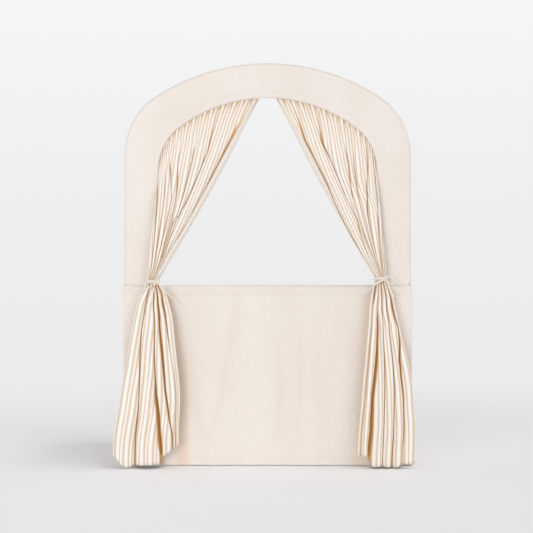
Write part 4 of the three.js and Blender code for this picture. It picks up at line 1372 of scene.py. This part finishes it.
def heading_points(count=400):
    stations = HEADING_ARCH.half(OPENING_SPRING, 0, 200, 400)
    line = np.array([(-x, z) for (x, z), way in stations])
    line = line[line[:, 0] >= HEADING_END]
    gone = distance_along(line)
    even = np.linspace(0, gone[-1], count)
    return np.column_stack([np.interp(even, gone, line[:, 0]), np.interp(even, gone, line[:, 1])])


HEADING = heading_points()
print("heading length", round(line_length(HEADING), 3))


def ruled(share, down, waist, half_waist):
    index = np.clip(share, 0, 1) * (len(HEADING) - 1)
    top = np.stack([np.interp(index, np.arange(len(HEADING)), HEADING[:, i]) for i in (0, 1)], axis=-1)
    low = np.stack([waist[0] + half_waist * (1 - 2 * share), np.full_like(share, waist[1])], axis=-1)
    line = low - top
    length = np.linalg.norm(line, axis=-1, keepdims=True)
    sideways = np.stack([line[..., 1], -line[..., 0]], axis=-1) / length
    sag = 0.020 * smooth(share, 0.05, 0.6) * (1 - 0.5 * smooth(share, 0.7, 1.0))
    return top + line * down[..., None] + sideways * (sag * np.sin(math.pi * down))[..., None]


def fold_shares(points, waist, half_waist):
    share, down = np.meshgrid(np.linspace(0, 1, 161), np.linspace(0, 1, 161))
    net = ruled(share, down, waist, half_waist)
    found = []
    for point in points:
        nearest = np.argmin(np.linalg.norm(net - np.array(point), axis=-1))
        found.append((down.flat[nearest], share.flat[nearest]))
    return sorted(found)


# %% [markdown]
# Where a curtain passes in front of the cover or the skirt, it has to stay in front of the canvas. This
# gives the furthest back that the cloth may be at a place.

# %% The canvas behind the curtain
CLEAR_OF_COVER, CLEAR_OF_SKIRT = 0.0021, 0.0082


def canvas_front(across, height):
    face = EDGE_ARCH.half_width
    toward = np.clip((across - face) / (POST_ACROSS - face), 0, 1)
    cover_front = POST_PLANE - (EDGE_SLEEVE + (TUBE_SLEEVE - EDGE_SLEEVE) * toward) - CLEAR_OF_COVER
    open_air = POST_PLANE + 0.03
    beside = smooth(across, OPENING_HALF - 0.012, OPENING_HALF)
    above = open_air + (cover_front - open_air) * beside
    skirt = SKIRT_FRONT - CLEAR_OF_SKIRT
    return skirt + (above - skirt) * smooth(height, LEDGE + 0.004, LEDGE + 0.022)


# %% [markdown]
# A whole curtain is three runs of rows: the upper part, a short round bundle under the tie and the tail.
# Deep in the folds the value "valley" is painted, and the doubled free edge gets "hem". A curtain's shape
# is written as points across and up, and the left one is the mirror of what is written, so its columns are
# turned round to keep its face in front.

# %% Space the valleys, round the waist and ripple the lobes
WAIST_HALF, WAIST_DEPTH, BAND_HALF = 0.0205, 0.0112, 0.007
WAIST_PLANE, HEADING_FORWARD = -0.2352, 0.0045
UPPER_ROWS, TAIL_ROWS = 104, 74
TAIL_END = 0.004


def spaced(valleys, apart=0.045):
    spread_out = []
    for share, weight, gap in sorted(valleys):
        if spread_out and share < spread_out[-1][0] + apart:
            share = spread_out[-1][0] + apart
        spread_out.append((min(max(share, 0.03), 0.97), weight, gap))
    return spread_out


def rounded_in(share, back, front, amount):
    centre = front + WAIST_DEPTH
    shape = np.sqrt(np.clip(1 - (2 * share - 1) ** 2, 0.02, 1))
    return back + ((back - centre) * shape + centre - back) * amount


def rippled(y, share, back, drift, amount):
    turn = FLAT_ACROSS * (2 * math.pi / 0.043) + drift + 1.6 * np.sin(FLAT_ACROSS * 31)
    out_of_folds = amount * (1 - smooth(back, 0.001, 0.009))
    return y + 0.0019 * np.sin(turn) * out_of_folds, share + 0.0085 * np.cos(turn) * out_of_folds


# %% The upper part
def upper_rows(shape):
    waist = (shape["waist"][0], shape["waist"][1] + BAND_HALF)
    folds = [(fold_shares(points, waist, WAIST_HALF), weight) for points, weight in shape["folds"]]
    even, pleated = np.linspace(0, 1, 60), FLAT_ACROSS / PANEL
    pleats = 0.0042 * np.cos(2 * math.pi * shape["pleats"] * pleated + 0.8 * np.sin(9 * pleated))
    way_forward = WAIST_PLANE - WAIST_DEPTH - POST_PLANE + HEADING_FORWARD
    rows = []
    for down in np.linspace(0, 1, UPPER_ROWS):
        width = line_length(ruled(even, np.full(len(even), down), waist, WAIST_HALF))
        valleys = []
        for line, weight in folds:
            downs, shares = [p[0] for p in line], [p[1] for p in line]
            here = float(smooth(down, downs[0] - 0.12, downs[0] + 0.05))
            gap = 0.0035 * weight * here * (1 - 0.7 * down)
            valleys.append((float(np.interp(down, downs, shares)), weight * here + 0.02, gap))
        deepest = 0.010 + 0.016 * float(smooth(down, 0, 0.35)) - 0.002 * down
        share, back = pinned_row(width, spaced(valleys), deepest)
        folded = float(smooth(down, 0.0, 0.3))
        share = pleated + (share - pleated) * folded
        back = pleats * (1 - folded) * (1 - 0.4 * down) + back * folded
        front = POST_PLANE - HEADING_FORWARD + way_forward * math.sin(down * math.pi / 2)
        y = rounded_in(share, front + back + 0.0042 * (1 - folded), front, float(smooth(down, 0.9, 1)))
        y, share = rippled(y, share, back, 2.0 * down, 0.5 * folded * (1 - float(smooth(down, 0.75, 0.95))))
        place = ruled(share, np.full(COLUMNS, down), waist, WAIST_HALF)
        gathered = np.clip(pleats, 0, None) * (1 - folded) * (1 - float(smooth(down, 0, 0.2)))
        tucked = gathered * (0.7 + 0.9 * (1 - float(smooth(down, 0, 0.05))))
        rows.append((place[:, 0], y, place[:, 1], np.clip(back, tucked, None)))
    return rows


# %% The tail
def along_line(height, line):
    return np.interp(-height, [-point[1] for point in line], [point[0] for point in line])


def eased(heights, line, spread=0.014):
    fine = np.linspace(heights[0] + 0.04, heights[-1] - 0.04, 500)
    values = along_line(fine, line)
    step = fine[0] - fine[1]
    reach = int(3 * spread / step)
    window = np.exp(-0.5 * (np.arange(-reach, reach + 1) * step / spread) ** 2)
    values = np.convolve(np.pad(values, reach, mode="edge"), window / window.sum(), mode="valid")
    return np.interp(-heights, -fine, values)


def tail_row(shape, z, down, width):
    valleys = spaced([(along_line(z, line), weight, along_line(z, gaps) / 1000)
                      for line, weight, gaps in shape["tail_folds"]])
    deepest = 0.024 + 0.020 * float(smooth(down, 0, 0.3))
    share, back = pinned_row(width, valleys, deepest, 0.0042)
    front = WAIST_PLANE - WAIST_DEPTH - 0.024 * float(smooth(down, 0, 0.35))
    y = rounded_in(share, front + back, front, 1 - float(smooth(down, 0.0, 0.1)))
    y, share = rippled(y, share, back, 3.0 * down, float(smooth(down, 0.05, 0.3)))
    return share, back, y


def tail_rows(shape):
    top = shape["waist"][1] - BAND_HALF
    drop = top - TAIL_END
    heights = top - drop * np.linspace(0, 1, TAIL_ROWS) ** 1.25
    outer, inner = [eased(heights, shape[side]) for side in ("outer", "inner")]
    last_share = tail_row(shape, heights[-1], (top - heights[-1]) / drop, outer[-1] - inner[-1])[0]
    lift = np.interp(last_share, [point[0] for point in shape["hem"]], [point[1] for point in shape["hem"]])
    hem = softened(lift, 0.006)
    rows = []
    for z, edge, width in zip(heights, outer, outer - inner):
        share, back, y = tail_row(shape, z, (top - z) / drop, width)
        height = top - (top - hem) * (top - z) / drop
        rows.append((edge - width * share, y, height, np.clip(back, 0, None)))
    return rows


# %% Put a curtain's rows together
FREE_HEM = (0.0262, 0.0242)


def curtain(name, way, shape):
    upper, tail = upper_rows(shape), tail_rows(shape)
    between = [tuple(a + (b - a) * s for a, b in zip(upper[-1], tail[0])) for s in (0.2, 0.4, 0.6, 0.8)]
    rows = upper + between + tail
    across, y, z, depth = [np.array(values) for values in zip(*rows)]
    y = np.minimum(y, canvas_front(across, z))
    places = np.stack([way * across, y, z], axis=-1)
    gone = distance_along(places[:, COLUMNS // 2])
    flats = np.stack(np.broadcast_arrays(FLAT_ACROSS[None, :], gone[:, None]), axis=-1)
    valley = smooth(depth, 0.0006, 0.007) * 0.8 + smooth(depth, 0.010, 0.034) * 0.5
    band = smooth(FLAT_ACROSS, PANEL - FREE_HEM[0], PANEL - FREE_HEM[1])[None, :]
    hem = band * (1 - 0.85 * smooth(shape["waist"][1] - z, -0.05, 0.02))
    facing = slice(None, None, way)
    painted = {"valley": valley[:, facing], "hem": hem[:, facing]}
    piece = cloth_grid(name, places[:, facing], flats[:, facing], painted)
    finished_cloth(piece, TICKING, thickness=0.0008, offset=0)
    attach(piece, "frame")
    return piece


# %% [markdown]
# The two curtains differ in how they happen to be tied. The left one hangs in three wide folds with its
# free edge kicked up at the hem, and the right one is narrower and turns a pale strip of its edge to the
# front. Each fold is a line of points and how much of the spare cloth it takes. The tail's folds are shares
# across at heights, and a third list gives each one's gap in millimetres.

# %% The left curtain
LEFT = {
    "waist": (0.397, 0.638), "knot": -0.013, "pleats": 20,
    "folds": [
        ([(0.380, 1.054), (0.383, 0.922), (0.390, 0.791), (0.408, 0.645)], 1.0),
        ([(0.359, 1.123), (0.359, 0.922), (0.376, 0.80), (0.403, 0.648)], 0.5),
        ([(0.345, 1.096), (0.335, 0.922), (0.363, 0.784), (0.397, 0.652)], 0.7),
        ([(0.304, 1.182), (0.311, 1.044), (0.318, 0.922), (0.352, 0.784), (0.394, 0.645)], 0.7),
        ([(0.244, 1.21), (0.262, 1.06), (0.289, 0.95), (0.319, 0.85), (0.388, 0.66)], 0.8),
        ([(0.179, 1.245), (0.207, 1.092), (0.245, 0.995), (0.286, 0.905), (0.335, 0.832), (0.373, 0.704)],
         1.2),
        ([(0.089, 1.207), (0.200, 0.992), (0.238, 0.922), (0.300, 0.808), (0.335, 0.756), (0.383, 0.659)],
         1.5),
    ],
    "outer": [(0.415, 0.631), (0.427, 0.614), (0.441, 0.587), (0.450, 0.559), (0.457, 0.522),
              (0.464, 0.476), (0.476, 0.403), (0.486, 0.329), (0.499, 0.255), (0.509, 0.181),
              (0.521, 0.117), (0.528, 0.052)],
    "inner": [(0.379, 0.631), (0.360, 0.614), (0.349, 0.598), (0.342, 0.564), (0.328, 0.512),
              (0.321, 0.439), (0.315, 0.365), (0.307, 0.281), (0.301, 0.208), (0.301, 0.166),
              (0.304, 0.120), (0.306, 0.078)],
    "tail_folds": [
        ([(0.27, 0.57), (0.225, 0.473), (0.26, 0.37), (0.305, 0.25), (0.32, 0.12), (0.33, 0.05)], 1.0,
         [(4, 0.59), (2.5, 0.52), (1.5, 0.42), (3.5, 0.26), (4, 0.16), (2, 0.08)]),
        ([(0.51, 0.57), (0.546, 0.473), (0.557, 0.37), (0.603, 0.232), (0.697, 0.095), (0.735, 0.04)], 1.2,
         [(4, 0.60), (2, 0.48), (3, 0.33), (8, 0.25), (11, 0.16), (9, 0.05)]),
        ([(0.65, 0.60), (0.655, 0.582), (0.665, 0.473), (0.723, 0.37), (0.759, 0.232), (0.87, 0.095),
          (0.91, 0.05)], 1.5,
         [(5, 0.61), (7, 0.57), (6, 0.45), (6, 0.32), (5, 0.22), (2, 0.12)]),
        ([(0.82, 0.59), (0.81, 0.564), (0.83, 0.494), (0.88, 0.40), (0.93, 0.28), (0.95, 0.10)], 0.5,
         [(4, 0.59), (6, 0.55), (2, 0.48), (0.5, 0.3)]),
    ],
    "hem": [(0.0, 0.046), (0.134, 0.011), (0.224, 0.005), (0.336, 0.012), (0.728, 0.015), (0.742, 0.042),
            (0.836, 0.050), (0.940, 0.075), (1.0, 0.080)],
}
left_curtain = curtain("left_curtain_cloth", -1, LEFT)
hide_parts("left_curtain")

# %% The right curtain
RIGHT = {
    "waist": (0.390, 0.649), "knot": 0.013, "pleats": 20,
    "folds": [
        ([(0.393, 0.86), (0.398, 0.735)], 0.8),
        ([(0.362, 1.113), (0.368, 1.058), (0.374, 0.995), (0.379, 0.929), (0.382, 0.860), (0.393, 0.70)],
         0.9),
        ([(0.344, 1.141), (0.348, 1.040), (0.348, 0.860), (0.362, 0.790), (0.386, 0.690)], 1.0),
        ([(0.285, 1.186), (0.296, 1.082), (0.306, 0.995), (0.331, 0.85), (0.384, 0.68)], 0.6),
        ([(0.251, 1.203), (0.265, 1.127), (0.282, 1.040), (0.299, 0.905), (0.341, 0.78), (0.382, 0.68)],
         0.7),
        ([(0.161, 1.245), (0.192, 1.116), (0.219, 1.058), (0.244, 0.995), (0.271, 0.933), (0.310, 0.850),
          (0.349, 0.725)], 1.4),
        ([(0.091, 1.262), (0.129, 1.130), (0.157, 1.075), (0.206, 0.978), (0.251, 0.867), (0.348, 0.683)],
         1.4),
    ],
    "outer": [(0.408, 0.642), (0.418, 0.625), (0.426, 0.610), (0.435, 0.577), (0.438, 0.550),
              (0.447, 0.513), (0.452, 0.490), (0.456, 0.458), (0.463, 0.435), (0.472, 0.402),
              (0.486, 0.338), (0.496, 0.273), (0.500, 0.200), (0.504, 0.145), (0.505, 0.098),
              (0.503, 0.020)],
    "inner": [(0.372, 0.642), (0.366, 0.628), (0.357, 0.591), (0.350, 0.545), (0.348, 0.490),
              (0.343, 0.439), (0.337, 0.366), (0.329, 0.283), (0.322, 0.190), (0.314, 0.098),
              (0.310, 0.048)],
    "tail_folds": [
        ([(0.13, 0.60), (0.115, 0.577), (0.11, 0.515), (0.06, 0.474), (0.10, 0.43), (0.19, 0.37),
          (0.21, 0.30), (0.19, 0.233), (0.20, 0.12), (0.22, 0.03)], 1.1,
         [(3, 0.60), (6, 0.56), (5, 0.52), (2, 0.48), (5, 0.42), (6, 0.36), (4, 0.28), (1.5, 0.18)]),
        ([(0.33, 0.58), (0.36, 0.40), (0.37, 0.20), (0.40, 0.03)], 0.8,
         [(3, 0.60), (1, 0.50), (1.5, 0.3), (2, 0.05)]),
        ([(0.52, 0.58), (0.56, 0.40), (0.56, 0.20), (0.56, 0.03)], 0.8,
         [(3, 0.60), (0.5, 0.50), (1.5, 0.1)]),
        ([(0.69, 0.60), (0.69, 0.55), (0.711, 0.508), (0.71, 0.474), (0.744, 0.37), (0.775, 0.29),
          (0.795, 0.233), (0.787, 0.095), (0.80, 0.044)], 1.4,
         [(2, 0.61), (1, 0.54), (6, 0.50), (8, 0.38), (9, 0.24), (12, 0.14), (10, 0.04)]),
        ([(0.86, 0.62), (0.87, 0.56), (0.90, 0.50), (0.93, 0.40), (0.95, 0.10)], 0.3,
         [(4, 0.62), (5, 0.59), (0.5, 0.55)]),
    ],
    "hem": [(0.0, 0.019), (0.24, 0.017), (0.30, 0.005), (0.77, 0.008), (0.81, 0.040), (1.0, 0.044)],
}
right_curtain = curtain("right_curtain_cloth", 1, RIGHT)
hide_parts("right_curtain")

# %% [markdown]
# ## The ties
# Each tie is a length of cotton string: three turns round the waist, a knot in front, two small loops and
# two loose ends. String is a round section swept along a line. The line is a smooth curve through a few
# points, and the section is turned as little as possible from one point to the next, so the strands don't
# twist.

# %% A smooth line through points
def smooth_line(points, per_span=8):
    points = np.array(points, float)
    ends = np.vstack([2 * points[0] - points[1], points, 2 * points[-1] - points[-2]])
    line = []
    for a, b, c, d in zip(ends, ends[1:], ends[2:], ends[3:]):
        for t in np.arange(per_span) / per_span:
            line.append(0.5 * (2 * b + (c - a) * t + (2 * a - 5 * b + 4 * c - d) * t ** 2
                               + (3 * b - a - 3 * c + d) * t ** 3))
    return np.array(line + [points[-1]])


# %% Sweep a string along a line
STRING_RADIUS, STRING_SIDES, END_TAPER = 0.0020, 12, 0.55


def swept(name, line, taper=True):
    way = np.gradient(line, axis=0)
    way /= np.linalg.norm(way, axis=1, keepdims=True)
    side = np.cross(way[0], (0.3, 0.2, 0.9))
    rows, gone = [], distance_along(line)
    turns = np.linspace(0, 2 * math.pi, STRING_SIDES, endpoint=False)
    for i, (point, forward) in enumerate(zip(line, way)):
        side = side - forward * np.dot(side, forward)
        side /= np.linalg.norm(side)
        up = np.cross(forward, side)
        at_end = i in (0, len(line) - 1)
        radius = STRING_RADIUS * (END_TAPER if taper and at_end else 1.0)
        rows.append(point + radius * (np.cos(turns)[:, None] * side + np.sin(turns)[:, None] * up))
    around = np.linspace(0, 1, STRING_SIDES + 1)
    flats = np.stack(np.broadcast_arrays(around[None, :], gone[:, None]), axis=-1)
    piece = cloth_grid(name, np.array(rows), flats, {}, round_about=True)
    hold(piece)
    bpy.ops.object.mode_set(mode="EDIT")
    bpy.ops.mesh.select_all(action="DESELECT")
    bpy.ops.mesh.select_mode(type="EDGE")
    bpy.ops.mesh.select_non_manifold()
    bpy.ops.mesh.edge_face_add()
    bpy.ops.object.mode_set(mode="OBJECT")
    facing_out(piece)
    hold(piece)
    bpy.ops.object.shade_smooth()
    piece.data.materials.append(STRING)
    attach(piece, "frame")
    return piece


# %% The band and the knot
BAND_TURNS, TURN_POINTS, KNOT_POINTS = 3, 36, 97


def band_line(centre):
    line = []
    for i in range(BAND_TURNS * TURN_POINTS + 1):
        a = 2 * math.pi * i / TURN_POINTS
        rise = -0.0056 + 0.0112 * i / (BAND_TURNS * TURN_POINTS)
        tilt = 0.0012 * math.cos(a + 0.5)
        line.append((centre[0] + (WAIST_HALF + 0.0024) * math.cos(a),
                     centre[1] + (WAIST_DEPTH + 0.0026) * math.sin(a), centre[2] + rise + tilt))
    return np.array(line)


def knot_line(centre, size):
    line = []
    for i in range(KNOT_POINTS):
        a = 2 * math.pi * i / KNOT_POINTS
        line.append((centre[0] + size * (math.sin(a) + 2 * math.sin(2 * a)) / 3,
                     centre[1] - size * 0.45 * math.sin(3 * a),
                     centre[2] + size * (math.cos(a) - 2 * math.cos(2 * a)) / 3))
    return np.array(line)


# %% Tie a bow
def tie_bow(side, way, shape, routes):
    centre = (way * shape["waist"][0], WAIST_PLANE, shape["waist"][1])
    middle_of_knot = (centre[0] + way * shape["knot"], centre[1] - WAIST_DEPTH - 0.0050, centre[2])
    band = swept(f"{side}_tie_band", band_line(centre))
    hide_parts(f"{side}_tie")
    swept(f"{side}_tie_knot", knot_line(middle_of_knot, 0.0068), taper=False)
    mirrored = (way, 1, 1)
    for label, (points, far_end, lay) in routes.items():
        line = smooth_line([[middle_of_knot[i] + mirrored[i] * point[i] / 1000 for i in range(3)]
                            for point in points])
        string = swept(f"{side}_tie_{label}", line)
        print(side, label, "string", round(line_length(line) * 1000), "mm")


LEFT_ROUTES = {
    "inner_loop": ([(-2, -1, 1), (-12, -4, 3), (-23, -4, 3), (-31, -3, 1), (-37, -2, -2), (-39, -2, -7),
                    (-37, -2, -13), (-31, -3, -15), (-21, -4, -13), (-10, -4, -8), (-2, -3, -3)],
                   "object", "loose"),
    "outer_loop": ([(2, -1, 0), (13, -4, 3), (25, -3, 1), (34, -2, -5), (39, -1, -12), (38, -1, -18),
                    (34, -2, -22), (28, -4, -22), (19, -5, -16), (10, -5, -8), (3, -3, -3)],
                   "object", "loose"),
    "inner_end": ([(-2, -2, -1), (-12, -5, -8), (-26, -5, -22), (-36, 0, -33), (-44, 3, -43), (-57, 6, -56),
                   (-70, 7, -68), (-77, 7, -79)], "bare", "hanging"),
    "outer_end": ([(2, -2, -2), (5, -6, -10), (7, -12, -24), (10, -18, -40), (10, -22, -56),
                   (12, -23, -66)], "bare", "hanging"),
}
RIGHT_ROUTES = {
    "inner_loop": ([(-2, -1, 0), (-18, -5, 2), (-36, -5, 2), (-48, -4, -2), (-53, -3, -11), (-48, -3, -19),
                    (-38, -5, -18), (-24, -6, -10), (-11, -5, -5), (-3, -3, -3)], "object", "loose"),
    "outer_loop": ([(2, -1, 1), (9, -4, 7), (17, -3, 8), (25, -1, 3), (31, 0, -4), (32, 0, -11),
                    (30, -1, -17), (24, -2, -19), (16, -4, -15), (8, -5, -8), (2, -3, -2)],
                   "object", "loose"),
    "inner_end": ([(-3, -2, -2), (-16, -6, -9), (-30, -7, -18), (-43, -3, -28), (-55, 4, -38),
                   (-66, 6, -46), (-74, 6, -53)], "bare", "hanging"),
    "outer_end": ([(2, -2, -2), (8, -6, -12), (14, -10, -26), (20, -12, -40), (28, -4, -52), (33, 3, -62)],
                  "bare", "hanging"),
}
tie_bow("left", -1, LEFT, LEFT_ROUTES)
tie_bow("right", 1, RIGHT, RIGHT_ROUTES)

# %% [markdown]
# ## The studio
# The picture is taken in a pale studio. The floor runs up into the backdrop in one curve, so there is no
# line behind the stand. The camera sees the backdrop's own pale tone, and so do shiny surfaces, while the
# floor is plain and keeps the stand's shadow. The tone gets a little paler over the backdrop's first
# metres.

# %% The sweep
FLOOR_WIDTH, FLOOR_LENGTH, FLOOR_MIDDLE = 24, 18, -6.2
SWEEP_RADIUS, WALL_RISE = 1.5, 6


def sweep_mesh():
    let_go()
    bpy.ops.mesh.primitive_plane_add(size=1, location=(0, FLOOR_MIDDLE, 0))
    piece = bpy.context.object
    piece.scale = (FLOOR_WIDTH, FLOOR_LENGTH, 1)
    bpy.ops.object.transform_apply(location=True, rotation=True, scale=True)
    bpy.ops.object.mode_set(mode="EDIT")
    bpy.ops.mesh.select_mode(type="EDGE")
    bpy.ops.mesh.select_all(action="DESELECT")
    bpy.ops.object.mode_set(mode="OBJECT")
    back = max(v.co.y for v in piece.data.vertices)
    for edge in piece.data.edges:
        edge.select = all(piece.data.vertices[v].co.y > back - 0.001 for v in edge.vertices)
    bpy.ops.object.mode_set(mode="EDIT")
    bpy.ops.mesh.spin(steps=16, angle=math.pi / 2, center=(0, back, SWEEP_RADIUS), axis=(-1, 0, 0))
    bpy.ops.mesh.extrude_region_move(TRANSFORM_OT_translate={"value": (0, 0, WALL_RISE)})
    bpy.ops.object.mode_set(mode="OBJECT")
    facing_out(piece)
    hold(piece)
    bpy.ops.object.shade_smooth()
    return piece


sweep = sweep_mesh()
sweep.name = sweep.data.name = "studio_sweep"
print("sweep", [round(n, 2) for n in sweep.dimensions])

# %% Paint the sweep
def looked_at(net):
    camera, glossy, through = [net.node("ShaderNodeLightPath", out=f"Is {kind} Ray")
                               for kind in ("Camera", "Glossy", "Transmission")]
    either = camera + glossy + through
    return either.maths("MINIMUM", either, 1.0)


TONE_RISE = 4.0
TONE_STOPS = [(0.0, colour(235, 235, 235)), (0.35, colour(239, 239, 240)), (1.0, colour(251, 252, 252))]


def backdrop_finish():
    finish = Finish("studio_paper", 0.95, Specular_IOR_Level=0.1)
    place = on_object(finish)
    backward, height = [finish.node("ShaderNodeSeparateXYZ", None, {0: place}, out) for out in (1, 2)]
    finish.set("Base Color", colour(243, 243, 244))
    tone = finish.node("ShaderNodeValToRGB", {"stops": TONE_STOPS}, {"Fac": height / TONE_RISE})
    glow = finish.node("ShaderNodeEmission", None, {"Color": tone, "Strength": 1.0})
    share = looked_at(finish) * step_between(finish, backward, 0.6, 2.6)
    paper = Wire(finish, finish.shader.outputs[0])
    mixed = finish.node("ShaderNodeMixShader", None, {0: share, 1: paper, 2: glow})
    output = next(n for n in finish.tree.nodes if n.type == "OUTPUT_MATERIAL")
    finish.feed(output.inputs["Surface"], mixed)
    return finish.material


sweep.data.materials.append(backdrop_finish())

# %% [markdown]
# ## Light
# Two far soft lamps stand on the right. One is level with the stand, so that its shadow on the floor has a
# straight front edge, and a wider one further to the front lets that shadow fade backwards. A broad lamp
# fills from the front on the left, from far off, so that it lights the floor evenly. The room's own even
# light does the rest, and the room looks paler than it lights, to the camera and in metal. The level is set
# so that a colour in the picture is about the colour that was written.

# %% Hang the lamps
def hung_lamp(name, data, towards):
    light = bpy.data.objects.new(name, data)
    light.rotation_euler = Vector(towards).to_track_quat("Z", "Y").to_euler()
    bpy.context.scene.collection.objects.link(light)
    return light


def broad_lamp(name, place, aim, size, watts):
    data = bpy.data.lights.new(name, "AREA")
    data.shape, data.size, data.size_y, data.energy = "RECTANGLE", size[0], size[1], watts
    hung_lamp(name, data, Vector(place) - Vector(aim)).location = place


def far_lamp(name, towards, degrees, strength):
    data = bpy.data.lights.new(name, "SUN")
    data.energy, data.angle = strength, math.radians(degrees)
    hung_lamp(name, data, towards)


far_lamp("side_lamp", (0.50, -0.02, 0.87), 16, 0.34)
far_lamp("corner_lamp", (0.42, -0.44, 0.80), 36, 0.60)
broad_lamp("front_lamp", (-3.0, -7.2, 1.35), (0, 0, 0.6), (4.2, 3.2), 188)

# %% The room's even light
ROOM_LIGHT, ROOM_PALER = 0.525, 0.33
world = bpy.data.worlds.new("room")
world.use_nodes = True
room = Net(world.node_tree)
even_light = world.node_tree.nodes["Background"].inputs
room.feed(even_light["Color"], (1.0, 1.0, 1.0, 1.0))
room.feed(even_light["Strength"], looked_at(room) * ROOM_PALER + ROOM_LIGHT)
bpy.context.scene.world = world

# %% Set up the camera
CAMERA_DISTANCE, CAMERA_HEIGHT = 3.7, 0.692
camera_data = bpy.data.cameras.new("camera")
camera_data.lens, camera_data.sensor_width = 72, 36
camera = bpy.data.objects.new("camera", camera_data)
camera.location = (-0.004, SKIRT_FRONT - CAMERA_DISTANCE, CAMERA_HEIGHT)
camera.rotation_euler = (math.pi / 2, 0, 0)
bpy.context.scene.collection.objects.link(camera)
bpy.context.scene.camera = camera
bpy.context.scene.view_settings.view_transform = "Standard"

# %% [markdown]
# ## The last update
# The view layer is updated, so every object's place is current. The dressed stand has to stay in the
# measured model's box, apart from a little for soft cloth.

# %% Update the view layer
bpy.context.view_layer.update()
